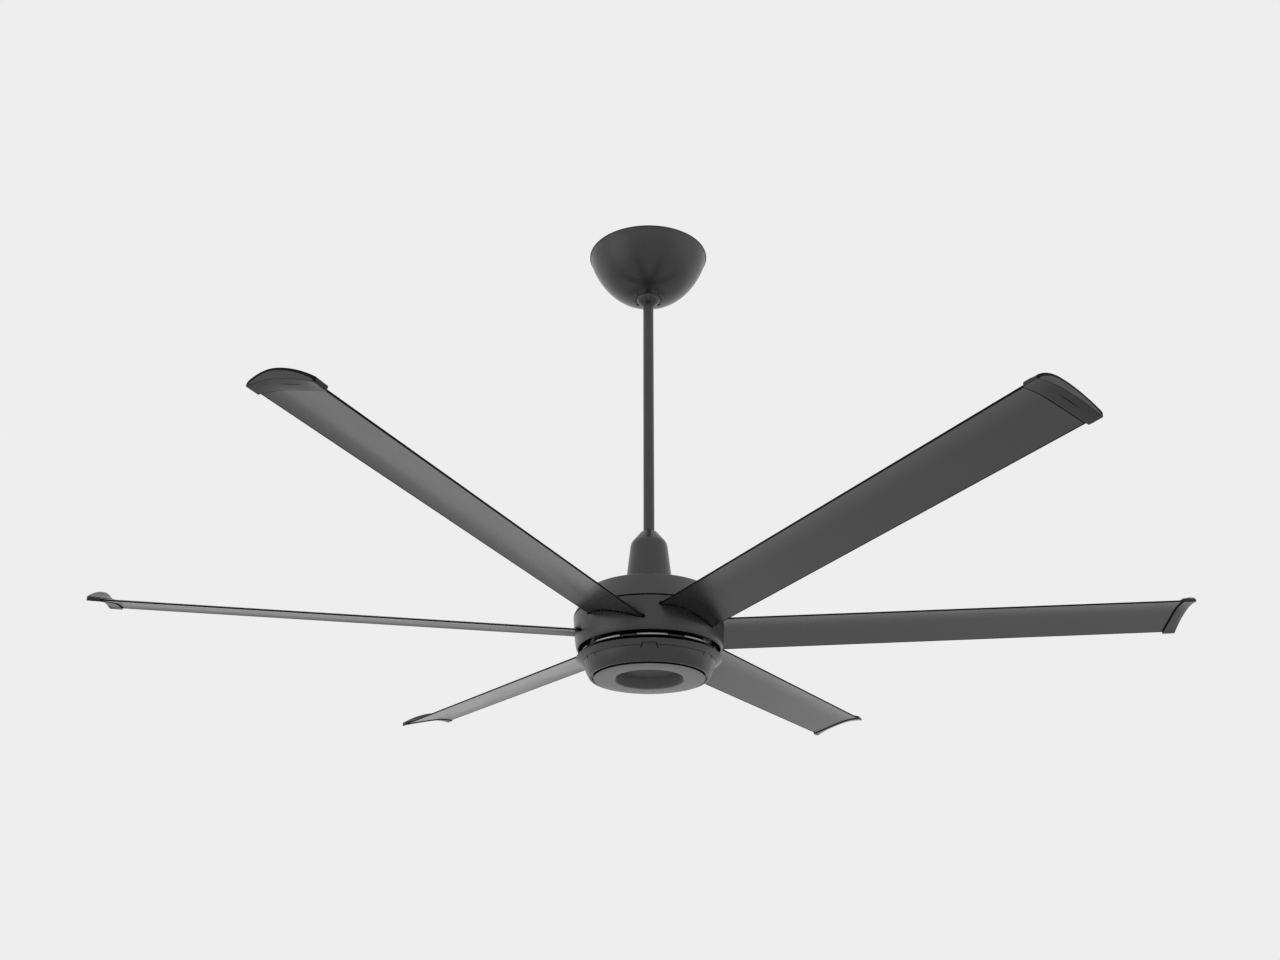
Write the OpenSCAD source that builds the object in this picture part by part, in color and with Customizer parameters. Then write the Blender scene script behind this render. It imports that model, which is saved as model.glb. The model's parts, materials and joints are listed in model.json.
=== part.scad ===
// Outdoor ceiling fan: six extruded aluminium blades on a ball-hung downrod.
// The origin is the centre of the hanging bracket's face against the ceiling, +Z is up,
// and the fan hangs below it. Seen from above the rotor turns clockwise, so the leading
// edge of each blade is the raised one. All lengths are millimetres, all angles degrees.

/* [Overall] */
// Diameter swept by the outer ends of the tip caps
fan_d = 1828; // [1500:4:2140]
// Drop from the ceiling to the point where the blade centre lines meet
hub_drop = 745; // [620:5:1200]
// Resting angle of the first blade, counted from +X
blade_phase = 2.6; // [0:0.1:60]

/* [Canopy] */
// Outer radius of the canopy at the ceiling
canopy_r = 108.5; // [102:0.5:130]
// Height of the canopy dome
canopy_h = 92.4; // [91.6:0.2:94]
// Thickness of the canopy's pressed sheet
canopy_wall = 1.2; // [0.8:0.1:1.4]
// Shadow gap left under the ceiling
canopy_gap = 1.5; // [0.5:0.5:4]
// Radius of the hole that the ball shows through
canopy_hole_r = 24.9; // [24.7:0.1:25.6]
// Fullness of the dome at the rim
dome_rim_power = 2.43; // [2.2:0.01:2.7]
// Fullness of the dome at the hole
dome_foot_power = 1.3; // [1.2:0.01:1.5]

/* [Bracket] */
// Length of the bracket's ceiling plate
plate_l = 150; // [144:1:170]
// Width of the bracket's strap
strap_w = 44; // [36:1:56]
// Thickness of the bracket's steel strap
strap_t = 3; // [2:0.5:4]
// Distance between the two junction box screw holes
box_hole_spacing = 88.9; // [84:0.1:96]
// Radius of the junction box screw holes
box_hole_r = 2.6; // [2:0.1:3.2]
// Distance between the two joist screw holes
joist_hole_spacing = 127; // [120:1:132]
// Radius of the joist screw holes
joist_hole_r = 3.6; // [3:0.1:4.5]
// Distance from the axis to the inside of each hanging leg
leg_x = 33; // [31:0.5:36]

/* [Ball and downrod] */
// Radius of the hanger ball
ball_r = 24; // [23.6:0.1:24.3]
// Depth of the ball's centre below the ceiling
ball_drop = 83; // [82.6:0.1:83.6]
// Thickness of the ball's seat liner
liner_t = 0.6; // [0.4:0.1:0.8]
// Outside diameter of the downrod
rod_d = 19.05; // [17:0.05:20]
// Wall thickness of the downrod
rod_wall = 2; // [1.5:0.1:3]
// Diameter of the two cross pins through the downrod
pin_d = 6.35; // [5:0.05:8]
// Diameter of the grub screws that stop the downrod turning
grub_d = 5; // [4:0.5:6]

/* [Coupling] */
// Outside radius of the coupling that joins the downrod to the motor shaft
coupling_r = 22; // [20:0.5:23]
// Radius of the coupling's foot flange
coupling_foot_r = 33; // [32:0.5:35]
// Thickness of the coupling's foot flange
coupling_foot_t = 8; // [6:0.5:10]
// Length of the rod's seat inside the coupling
rod_seat_l = 38; // [34:1:44]
// Radius of the bell cover where it meets the hub
bell_r = 42; // [41.6:0.2:46]
// Radius of the bell cover at its shoulder
bell_shoulder_r = 32.2; // [31.6:0.2:34]
// Thickness of the bell cover
bell_wall = 1.6; // [1.2:0.1:2]

/* [Blades] */
// Chord of a blade, from leading to trailing edge
blade_chord = 105; // [98:1:108]
// Thickness of a blade at its middle
blade_t = 4.8; // [4.6:0.1:6]
// Thickness of a blade at both edges
blade_edge_t = 2.4; // [1.8:0.1:2.6]
// How far a blade's underside arches up between its edges
blade_arch = 4.3; // [3:0.1:5]
// Wall of the hollow extrusion
blade_wall = 1; // [0.8:0.1:1.2]
// Pitch of the blades
blade_pitch = 11.67; // [8:0.01:13]
// Rise of the blades towards their tips
blade_rise = 3; // [2:0.01:4]
// Gap left round a blade where it enters the hub ring
slot_gap = 1.7; // [1.2:0.1:2.4]
// Thickness of the spar that each blade slides onto
spar_t = 2.6; // [2:0.1:2.6]
// Length of a spar outside its ring
spar_l = 76; // [60:1:110]

/* [Tip caps] */
// Length of a tip cap along the blade
cap_l = 22; // [20:0.5:30]
// Height of the upturned fin above the blade's centre line
fin_h = 18.6; // [12:0.1:24]
// How far the cap stands proud of the blade's skin
cap_proud = 1.6; // [1.2:0.1:2.2]

/* [Hub] */
// Radius of the turning hub ring at its top edge
ring_r = 126.8; // [124:0.2:130]
// Radius of the turning hub ring at its lower edge
ring_low_r = 120; // [119:0.2:121]
// Height of the ring's top edge above the blade centre point
ring_top = 29.5; // [28:0.5:34]
// Depth of the ring's lower edge below the blade centre point
ring_low = 25.6; // [25:0.2:28]
// Wall of the ring and of the covers
hub_wall = 3; // [2.4:0.1:3.4]
// Running gap between the ring and the fixed top cover
seam_gap = 2; // [1.5:0.1:3]
// Height of the fixed top cover
cover_h = 41.5; // [38:0.5:46]
// Radius of the top cover's flat top
cover_top_r = 107.5; // [100:0.5:112]
// Open gap between the ring and the fixed lower housing
under_gap = 14.2; // [12:0.2:15]

/* [Lower housing] */
// Radius of the motor pan's rim
pan_r = 121.6; // [120:0.2:124]
// Height of the motor pan's chamfered rim
pan_rim_h = 7.8; // [7:0.2:9]
// Radius at the foot of the pan's chamfer, where the lower cover starts
chamfer_r = 110; // [108:0.5:112]
// Radius of the lower cover at its bottom edge
cover_low_r = 99; // [98:0.5:102]
// Depth of the lower cover below the pan
cover_low_h = 24.2; // [22:0.2:30]
// Radius of the bottom plate
plate_r = 94.4; // [92:0.2:95]
// Radius of the well in the bottom plate
well_r = 57; // [50:0.5:60]
// Depth of the well in the bottom plate
well_depth = 20; // [8:0.5:21]
// How far the middle of the bottom plate bulges down
plate_bulge = 2.6; // [1.5:0.1:4]

/* [Motor] */
// Diameter of the hollow motor shaft
shaft_d = 25; // [25:1:25]
// Diameter of the shaft's wire bore
shaft_bore_d = 13; // [10:0.5:14]
// Outside radius of the two bearings
bearing_r = 26; // [25:0.5:28]
// Width of the two bearings
bearing_w = 15; // [13:0.5:16]
// Outside radius of the stator
stator_r = 81.5; // [76:0.5:83]
// Height of the stator stack
stator_h = 30; // [24:1:32]
// Air gap between the stator and the magnets
air_gap = 0.8; // [0.5:0.1:1.2]
// Thickness of the magnets
magnet_t = 4.5; // [3:0.5:5]

/* [Hidden] */
$fn = 96;
eps = 0.05;
blade_count = 6;

// Clearances: a sliding fit on a shaft, a loose fit round a screw, a fit between faces
slide_fit = 0.05;
screw_fit = 0.15;
seat_gap = 0.25;

black = [0.16, 0.16, 0.17];
plate_grey = [0.3, 0.3, 0.31];
steel = [0.62, 0.62, 0.64];
bare_alu = [0.75, 0.75, 0.77];

// Levels of the hub, counted from the point where the blade centre lines meet
cover_foot = ring_top + seam_gap;
cover_top = cover_foot + cover_h;
cover_sheet = 2;
pan_top = -ring_low - under_gap;
pan_foot = pan_top - pan_rim_h;
web_t = 3;
web_top = pan_top - 3;
web_foot = web_top - web_t;
seat_top = pan_top + 3.8;
seat_r = 30;
nut_h = 8;
nut_foot = seat_top - web_t - nut_h;
shaft_foot = nut_foot - 2;
cover_low = pan_foot - cover_low_h;
ledge_t = 2.4;
plate_t = 2.6;
plate_top = cover_low + 2.6;
foot_top = cover_top + coupling_foot_t;
rod_foot = foot_top + 41;
coupling_top = rod_foot + rod_seat_l;
lower_pin_z = rod_foot + 14;
grub_z = rod_foot + 28;
shaft_top = rod_foot - 6;
shaft_r = shaft_d / 2;

// Rotor levels
housing_top = ring_top - hub_wall - seat_gap;
housing_t = 4.4;
lower_housing_t = 4.9;
rotor_wall = 5;
magnet_in = stator_r + air_gap;
rotor_in = magnet_in + magnet_t + 0.1;
rotor_r = rotor_in + rotor_wall;
rotor_foot = -28.6;
upper_bearing_z = 34;
lower_bearing_z = -29.4;
boss_r = bearing_r + 7;
stator_mid = -3;
carrier_h = 18;
collar_t = 8;
collar_low = cover_top - cover_sheet - collar_t;
land_r = 112.2;
land_t = 2.5;
land_count = 9;
land_angle = 25;

// Hanger ball
ball_z = -ball_drop;
liner_in = ball_r + 0.2;
liner_out = liner_in + liner_t;
socket_in = liner_out + 0.25;
socket_out = socket_in + 2;
socket_low = 6.4;
clip_t = 1;
lip_low = 8.4;
strap_foot_z = ball_z + 6;
clip_foot = 1;
notch_out = socket_out + 0.1 + clip_t + clip_foot + 0.5;
rod_r = rod_d / 2;
rod_top = ball_z + 18;
cross_pin_z = ball_z + 6;

// Blade section, worked out along the chord
lead_reach = blade_chord / 2 + 1.15;
spar_ring_t = 6;
spar_ring_r = rotor_r + 0.1 + spar_ring_t;
root_x = spar_ring_r + 1;
cap_x = fan_d / 2 / cos(blade_rise) - cap_l;
blade_end = cap_x + cap_l - 9;
trail_reach = blade_chord - lead_reach;
edge_r = blade_edge_t / 2;
arch_y = -18;
section_steps = 12;

// Numbers from 0 to 1, closer together near both ends
function stations(n) = [for (i = [0 : n]) (1 - cos(180 * i / n)) / 2];

// A curve over the chord: highest at peak_y, falling by its own amount to each edge
function arch(y, peak_y, peak, lead, lead_drop, lead_power, trail, trail_drop, trail_power) =
    y < peak_y
        ? peak - lead_drop * pow((peak_y - y) / (lead + peak_y), lead_power)
        : peak - trail_drop * pow((y - peak_y) / (trail - peak_y), trail_power);

// Middle surface of the blade at y, from the leading (-) to the trailing edge (+)
function camber(y) = arch(y, arch_y, arch_peak, lead_reach, arch_peak + lead_sink, 2,
    trail_reach, arch_peak + lead_sink, 1.5);
lead_sink = 2.75 - edge_r;
arch_peak = blade_arch - 2.75 + blade_t / 2;

// Half of the blade's thickness at y, before its edges are rounded
function half_t(y) = edge_r + (blade_t - blade_edge_t) / 2
    * pow(sin(180 * min(1, max(0, (y + lead_reach) / blade_chord))), 0.8);

// Closed outline of the blade, grown by g all round: two skins joined by round edges
function blade_outline(g = 0) = let (
    y0 = edge_r - lead_reach, y1 = trail_reach - edge_r,
    skin = [for (s = stations(section_steps)) y0 + s * (y1 - y0)], r = edge_r + g)
    concat(
        [for (a = [-67.5 : 22.5 : 67.5]) [y0 - r * cos(a), camber(y0) + r * sin(a)]],
        [for (y = skin) [y, camber(y) + half_t(y) + g]],
        [for (a = [67.5 : -22.5 : -67.5]) [y1 + r * cos(a), camber(y1) + r * sin(a)]],
        [for (i = [section_steps : -1 : 0]) [skin[i], camber(skin[i]) - half_t(skin[i]) - g]]);

// Closed outline that follows the blade's middle surface from y0 to y1
function strip_outline(y0, y1, half, n = 8) = concat(
    [for (i = [0 : n]) let (y = y0 + (y1 - y0) * i / n) [y, camber(y) + half]],
    [for (i = [n : -1 : 0]) let (y = y0 + (y1 - y0) * i / n) [y, camber(y) - half]]);
// Edges of the spar, and of the two side cells of the extrusion, along the chord
spar_y = [-32, 6];
front_cell = [-46, -34.6];
rear_cell = [8.6, 36];

// Puts children in the frame of blade k: x out along the blade, y to the trailing edge
module blade_frame(k) {
    rotate([0, 0, blade_phase + 60 * (k - 1)])
        rotate([0, -blade_rise, 0])
            rotate([-blade_pitch, 0, 0])
                children();
}

// A prism along x from a flat outline given in y and z
module span(x0, x1) {
    translate([x0, 0, 0])
        rotate([90, 0, 90])
            linear_extrude(x1 - x0)
                children();
}

// Puts children at the hub
module at_hub(z = 0) {
    translate([0, 0, z - hub_drop]) children();
}

// A ring from radius a to radius b, standing on z = 0
module ring(a, b, h) {
    difference() {
        cylinder(r = b, h = h);
        translate([0, 0, -1]) cylinder(r = a, h = h + 2);
    }
}

// Copies children round the axis
module around(n, phase = 0) {
    for (i = [0 : n - 1]) rotate([0, 0, phase + 360 * i / n]) children();
}

// A pan head screw with its head below z = 0 and its shank going up
module screw_up(r, l, head_r, head_h) {
    cylinder(r = r, h = l);
    translate([0, 0, -head_h]) cylinder(r1 = head_r * 0.8, r2 = head_r, h = head_h);
}

// Radius of the canopy's skin at a depth below its rim, inset by its wall
function dome_r(d, inset = 0) = (canopy_r - inset)
    * pow(max(0, 1 - pow(d / (canopy_h - inset), dome_foot_power)), 1 / dome_rim_power);
// Depth at which the skin reaches a radius
function dome_d(r, inset = 0) = (canopy_h - inset)
    * pow(1 - pow(r / (canopy_r - inset), dome_rim_power), 1 / dome_foot_power);

// Steel strap bent to a U, whose two feet carry the ball's socket
module mounting_bracket() {
    color(steel)
    difference() {
        union() {
            translate([-plate_l / 2, -strap_w / 2, -strap_t]) cube([plate_l, strap_w, strap_t]);
            for (s = [-1, 1])
                translate([s > 0 ? leg_x : -leg_x - strap_t, -strap_w / 2, strap_foot_z])
                    cube([strap_t, strap_w, -strap_foot_z]);
            translate([-leg_x - strap_t, -strap_w / 2, strap_foot_z])
                cube([2 * leg_x + 2 * strap_t, strap_w, strap_t]);
        }
        translate([0, 0, strap_foot_z - 1]) cylinder(r = socket_out + slide_fit, h = strap_t + 2);
        side_way_in();
        // Wire hole and the fixing holes
        translate([0, 0, -strap_t - 1]) cylinder(r = 16, h = strap_t + 2);
        for (s = [-1, 1]) {
            translate([s * box_hole_spacing / 2, 0, -strap_t - 1])
                cylinder(r = box_hole_r, h = strap_t + 2);
            translate([s * joist_hole_spacing / 2, 0, -strap_t - 1])
                cylinder(r = joist_hole_r, h = strap_t + 2);
        }
        translate([-55, 14, -strap_t - 1]) cylinder(r = 2.5, h = strap_t + 2);
    }
}

// Cut through which the downrod enters from the side, with the ball above it
module side_way_in() {
    translate([-rod_r - 1.5, 0, ball_z - 30]) cube([rod_d + 3, strap_w, 45]);
}

// Cast ring that hangs in the strap's feet by its flange and narrows below the ball
module ball_socket() {
    flange_z = strap_foot_z + strap_t;
    flange_t = 1.6;
    flange_r = socket_out + 4;
    lip_r = canopy_hole_r - 0.4;
    step_h = 1.1;
    color(black)
    difference() {
        union() {
            translate([0, 0, ball_z - socket_low])
                cylinder(r = socket_out, h = flange_z + flange_t - ball_z + socket_low);
            translate([0, 0, flange_z]) cylinder(r = flange_r, h = flange_t);
            translate([0, 0, ball_z - socket_low - step_h])
                cylinder(r1 = lip_r, r2 = socket_out - 0.4, h = step_h);
            translate([0, 0, ball_z - lip_low]) cylinder(r = lip_r, h = lip_low);
        }
        // Seat of the liner: a ball below its centre, a plain bore above
        translate([0, 0, ball_z]) sphere(r = socket_in);
        translate([0, 0, ball_z]) cylinder(r = socket_in, h = 30);
        side_way_in();
    }
}

// Pressed dome that hides the bracket, with four notches for its clip
module canopy() {
    steps = 26;
    d_out = dome_d(canopy_hole_r);
    d_in = dome_d(canopy_hole_r, canopy_wall);
    outer = [for (x = stations(steps)) [dome_r(d_out * x), -canopy_gap - d_out * x]];
    inner = [for (i = [steps : -1 : 0]) let (x = stations(steps)[i])
        [dome_r(d_in * x, canopy_wall), -canopy_gap - d_in * x]];
    color(black)
    difference() {
        union() {
            rotate_extrude() polygon(concat(outer, inner));
            // Rolled lip at the ceiling
            translate([0, 0, -canopy_gap - 1.8]) ring(canopy_r - canopy_wall, canopy_r + 1.2, 1.8);
        }
        around(4, 45)
            translate([canopy_hole_r - 2, -2.4, -canopy_h - 8])
                cube([notch_out - canopy_hole_r + 2, 4.8, 14]);
    }
}

// Spring band round the socket; four tongues pass the notches and carry the canopy
module canopy_clip() {
    band_in = socket_out + 0.1;
    band_low = -canopy_gap - dome_d(band_in + clip_t, canopy_wall) + 0.4;
    skin_low = -canopy_gap - dome_d(band_in + clip_t);
    color(black) {
        rotate([0, 0, -88 + 10]) rotate_extrude(angle = 336)
            translate([band_in, band_low]) square([clip_t, 8]);
        around(4, 45) translate([band_in, -2, 0]) {
            translate([0, 0, skin_low - 1]) cube([clip_t, 4, band_low - skin_low + 3]);
            translate([0, 0, skin_low - 1]) cube([clip_t + clip_foot, 4, 0.8]);
        }
    }
}

// Connector block for the supply wires
module terminal_block() {
    color(plate_grey)
    difference() {
        translate([1.5 - leg_x, -14, -strap_t - 13]) cube([12, 28, 13 - eps]);
        for (y = [-9, 0, 9]) translate([7.5 - leg_x, y, -strap_t - 14]) cylinder(r = 2.6, h = 6);
    }
}

module ground_screw() {
    color([0.2, 0.5, 0.25])
        translate([-55, 14, -strap_t]) screw_up(2.45, strap_t, 4.6, 2.4);
}

// Moulded liner between ball and socket, slit so that it springs over the ball
module ball_seat() {
    color(black)
    difference() {
        intersection() {
            translate([0, 0, ball_z]) sphere(r = liner_out);
            translate([0, 0, ball_z - lip_low]) cylinder(r = ball_r * 2, h = lip_low + 4);
        }
        translate([0, 0, ball_z]) sphere(r = liner_in);
        translate([-2, 0, ball_z - 30]) cube([4, 60, 60]);
    }
}

module hanger_ball() {
    color(black)
    difference() {
        intersection() {
            translate([0, 0, ball_z]) sphere(r = ball_r);
            translate([0, 0, ball_z - ball_r]) cylinder(r = ball_r * 2, h = ball_r + 15);
        }
        translate([0, 0, ball_z - ball_r - 1]) cylinder(r = rod_r + slide_fit, h = 3 * ball_r);
        translate([-ball_r - 1, 0, cross_pin_z])
            rotate([0, 90, 0]) cylinder(r = pin_d / 2 + slide_fit, h = 2 * ball_r + 2);
        translate([0, 0, ball_z + 11])
            rotate([90, 0, 0]) cylinder(r = grub_d / 2 + slide_fit, h = 2 * ball_r);
    }
}

module ball_cross_pin() {
    color(steel)
        translate([-21, 0, cross_pin_z]) rotate([0, 90, 0]) cylinder(r = pin_d / 2, h = 42);
}

module ball_grub_screw() {
    color(steel)
        translate([0, -rod_r - slide_fit, ball_z + 11])
            rotate([90, 0, 0]) cylinder(r = grub_d / 2, h = 9);
}

// The one continuous tube from the ball to the coupling
module downrod() {
    foot = rod_foot - hub_drop;
    color(black)
    difference() {
        translate([0, 0, foot]) ring(rod_r - rod_wall, rod_r, rod_top - foot);
        for (z = [cross_pin_z, lower_pin_z - hub_drop])
            translate([-rod_d, 0, z])
                rotate([0, 90, 0]) cylinder(r = pin_d / 2 + slide_fit, h = 2 * rod_d);
    }
}

module coupling_pin() {
    at_hub(lower_pin_z) color(steel) {
        translate([-coupling_r - 3, 0, 0]) rotate([0, 90, 0]) cylinder(r = pin_d / 2, h = 54);
        translate([-coupling_r - 3, 0, 0]) rotate([0, 90, 0]) cylinder(r = 5, h = 2);
    }
}

// Spring clip that keeps the coupling pin in
module pin_clip() {
    at_hub(lower_pin_z) color(steel)
        translate([coupling_r + 1.5, 0, 0]) rotate([0, 90, 0]) difference() {
            ring(pin_d / 2 + slide_fit, pin_d / 2 + 2.2, 1.4);
            translate([-1, 0, -1]) cube([2, 12, 4]);
        }
}

module coupling_grub_screws() {
    at_hub(grub_z) color(steel)
        for (a = [90, 210, 330])
            rotate([0, 0, a]) translate([rod_r + slide_fit, 0, 0])
                rotate([0, 90, 0]) cylinder(r = grub_d / 2, h = coupling_r - rod_r + 2);
}

// Cast collar: the rod pins into its top, the shaft seats in its foot
module motor_coupling() {
    at_hub() color(steel)
    difference() {
        union() {
            translate([0, 0, cover_top]) cylinder(r = coupling_foot_r, h = coupling_foot_t);
            translate([0, 0, foot_top]) cylinder(r1 = coupling_r + 1, r2 = coupling_r, h = 10);
            translate([0, 0, foot_top]) cylinder(r = coupling_r, h = coupling_top - foot_top - 2);
            translate([0, 0, coupling_top - 2])
                cylinder(r1 = coupling_r, r2 = coupling_r - 2, h = 2);
        }
        translate([0, 0, rod_foot]) cylinder(r = rod_r + slide_fit, h = rod_seat_l + 1);
        translate([0, 0, cover_top - 1]) cylinder(r = shaft_r + slide_fit, h = shaft_top - cover_top + 1);
        translate([0, 0, cover_top]) cylinder(r = shaft_bore_d / 2, h = coupling_top - cover_top);
        translate([-coupling_r - 2, 0, lower_pin_z])
            rotate([0, 90, 0]) cylinder(r = pin_d / 2 + slide_fit, h = 2 * coupling_r + 4);
        for (a = [90, 210, 330])
            rotate([0, 0, a]) translate([0, 0, grub_z])
                rotate([0, 90, 0]) cylinder(r = grub_d / 2 + slide_fit, h = coupling_r + 2);
        around(3, 30) translate([27.4, 0, cover_top - 1])
            cylinder(r = 2.5 + screw_fit, h = coupling_foot_t + 2);
    }
}

// Spun cover over the coupling, a slight cone with a steep shoulder
module bell_cover() {
    foot_z = cover_top + eps;
    top = coupling_top;
    neck_r = rod_r + 0.5;
    outer = [
        [bell_r, foot_z], [bell_shoulder_r, top - 3], [bell_shoulder_r - 1, top + 1],
        [bell_shoulder_r - 2.1, top + 5], [bell_shoulder_r - 3.6, top + 8.2], [neck_r + 5.6, top + 24],
        [neck_r + 2.6, top + 26.6], [neck_r, top + 28.6]
    ];
    inner = [for (i = [len(outer) - 1 : -1 : 0])
        [max(neck_r, outer[i][0] - bell_wall), outer[i][1] - (i == 0 ? 0 : bell_wall)]];
    at_hub() color(black) rotate_extrude() polygon(concat(outer, inner));
}

// Screws that clamp the coupling's foot and the top cover to the shaft's collar
module foot_screws() {
    at_hub(foot_top) color(steel) around(3, 30)
        translate([27.4, 0, 0]) mirror([0, 0, 1])
            screw_up(2.5, coupling_foot_t + cover_sheet + 6, 4.4, 2.6);
}

// Fixed cover over the motor, a cone with a rounded top edge
module top_cover() {
    round_r = 3;
    slope = (ring_r - cover_top_r) / (cover_h - round_r);
    outer = concat(
        [[ring_r, cover_foot]],
        [for (a = [0 : 15 : 90])
            [cover_top_r - round_r + round_r * cos(a), cover_top - round_r + round_r * sin(a)]]);
    t = cover_sheet;
    inner = [
        [cover_top_r - round_r, cover_top - t], [cover_top_r - round_r - 0.6, cover_top - t],
        [cover_top_r - t * 1.1, cover_top - round_r - 1], [ring_r - t * 1.1, cover_foot]
    ];
    at_hub() color(black)
    difference() {
        rotate_extrude() polygon(concat(
            outer, [[shaft_r + slide_fit, cover_top], [shaft_r + slide_fit, cover_top - t]], inner));
        around(3, 30) translate([27.4, 0, cover_top - t - 1]) cylinder(r = 2.5 + screw_fit, h = t + 2);
    }
}

// Hollow shaft: a collar under the top cover, a shoulder and a thread for the pan
module motor_shaft() {
    at_hub() color(steel)
    difference() {
        union() {
            translate([0, 0, seat_top]) cylinder(r = shaft_r, h = shaft_top - seat_top);
            translate([0, 0, collar_low]) cylinder(r = coupling_foot_r, h = collar_t);
            translate([0, 0, shaft_foot]) cylinder(r = shaft_r - 1, h = seat_top - shaft_foot + 1);
        }
        translate([0, 0, shaft_foot - 5]) cylinder(r = shaft_bore_d / 2, h = shaft_top - shaft_foot + 10);
        around(3, 30) translate([27.4, 0, collar_low - 1]) cylinder(r = 2.5 + screw_fit, h = collar_t + 2);
    }
}

// Tubes that stack the bearings and the stator between the shaft's collar and the nut
module shaft_spacers() {
    carrier_top = stator_mid + carrier_h / 2;
    lower_bearing_top = lower_bearing_z + bearing_w;
    levels = [
        [seat_top, lower_bearing_z], [lower_bearing_top, carrier_top - carrier_h],
        [carrier_top, upper_bearing_z], [upper_bearing_z + bearing_w, collar_low]
    ];
    color(steel) for (l = levels)
        at_hub(l[0] + eps) ring(shaft_r + slide_fit, shaft_r + 3, l[1] - l[0] - 2 * eps);
}

// Races share a groove for the balls
module bearing_race(a, b, z) {
    pitch_r = (shaft_r + bearing_r) / 2;
    at_hub(z) color(steel)
    difference() {
        ring(a, b, bearing_w);
        translate([0, 0, bearing_w / 2]) rotate_extrude() translate([pitch_r, 0]) circle(r = 4.1);
    }
}
module inner_race(z) {
    bearing_race(shaft_r + slide_fit, shaft_r + 4.4, z);
}
module outer_race(z) {
    bearing_race(bearing_r - 4.4, bearing_r, z);
}
module upper_bearing_inner() {
    inner_race(upper_bearing_z);
}
module lower_bearing_inner() {
    inner_race(lower_bearing_z);
}
module upper_bearing_outer() {
    outer_race(upper_bearing_z);
}
module lower_bearing_outer() {
    outer_race(lower_bearing_z);
}
module bearing_balls() {
    color(steel) for (z = [upper_bearing_z, lower_bearing_z])
        at_hub(z + bearing_w / 2) around(9)
            translate([(shaft_r + bearing_r) / 2, 0, 0]) sphere(r = 4);
}

// Laminated ring with twelve T-shaped teeth
tooth_count = 12;
tooth_w = 13;
core_in = 44;
core_back = 12;
tooth_tip_t = 3.4;
tooth_tip_angle = 12.6;
module stator_core() {
    at_hub(stator_mid - stator_h / 2) color(steel)
    union() {
        ring(core_in, core_in + core_back, stator_h);
        around(tooth_count) {
            translate([core_in + core_back - 1, -tooth_w / 2, 0])
                cube([stator_r - core_in - core_back, tooth_w, stator_h]);
            rotate([0, 0, -tooth_tip_angle]) rotate_extrude(angle = 2 * tooth_tip_angle)
                translate([stator_r - tooth_tip_t, 0]) square([tooth_tip_t, stator_h]);
        }
    }
}

// Spoked disc that carries the core on the shaft
module stator_carrier() {
    at_hub(stator_mid - carrier_h / 2) color(bare_alu)
    difference() {
        ring(shaft_r + slide_fit, core_in - slide_fit, carrier_h);
        around(6) translate([29, 0, -1]) cylinder(r = 6.5, h = carrier_h + 2);
    }
}

// One coil round each tooth
module stator_windings() {
    coil_t = 5;
    coil_l = stator_r - core_in - core_back - tooth_tip_t - 2.4;
    gap = 0.4;
    at_hub(stator_mid) color([0.6, 0.33, 0.16]) around(tooth_count)
        translate([core_in + core_back + 0.8, 0, 0]) rotate([90, 0, 90])
            linear_extrude(coil_l) difference() {
                square([tooth_w + 2 * gap + coil_t, stator_h + 2 * gap + 2 * coil_t], center = true);
                square([tooth_w + 2 * gap, stator_h + 2 * gap], center = true);
            }
}

module shaft_nut() {
    at_hub(nut_foot) color(steel)
    difference() {
        cylinder(r = 20.5, h = nut_h - eps, $fn = 6);
        translate([0, 0, -1]) cylinder(r = shaft_r - 1 + slide_fit, h = nut_h + 2);
    }
}

// Fixed pan under the motor: a chamfered rim whose six notches take the lower cover's tabs
tab_half_angle = 5.8;
tab_gap = 0.4;
notch_h = 1.5;
board_r = 77;
// Radius of the chamfer at a height above the pan's foot
function chamfer_at(h) = chamfer_r + h * (pan_r - chamfer_r) / (pan_rim_h - 0.6);
module pan_notches(half_angle) {
    around(6, 90)
        rotate([0, 0, -half_angle])
            rotate_extrude(angle = 2 * half_angle)
                translate([chamfer_r - hub_wall - 1, pan_foot - 1]) square([10, notch_h + 1]);
}
module motor_pan() {
    inner_r = chamfer_r - hub_wall;
    rim = [
        [inner_r, pan_foot], [chamfer_r, pan_foot], [pan_r, pan_top - 0.6],
        [pan_r - 0.3, pan_top - 0.15], [pan_r - 0.9, pan_top], [pan_r - 4.6, pan_top],
        [chamfer_r - 1, web_top], [inner_r, web_top]
    ];
    at_hub() color(black)
    difference() {
        union() {
            rotate_extrude() polygon(rim);
            translate([0, 0, web_foot]) ring(seat_r - web_t, inner_r + eps, web_t);
            translate([0, 0, web_foot]) ring(seat_r - web_t, seat_r, seat_top - web_foot);
            translate([0, 0, seat_top - web_t]) ring(shaft_r - 1 + slide_fit, seat_r, web_t);
        }
        pan_notches(tab_half_angle + tab_gap);
        around(4, 45) translate([board_r, 0, web_foot - 1]) cylinder(r = 2 + screw_fit, h = web_t + 2);
    }
}

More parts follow.
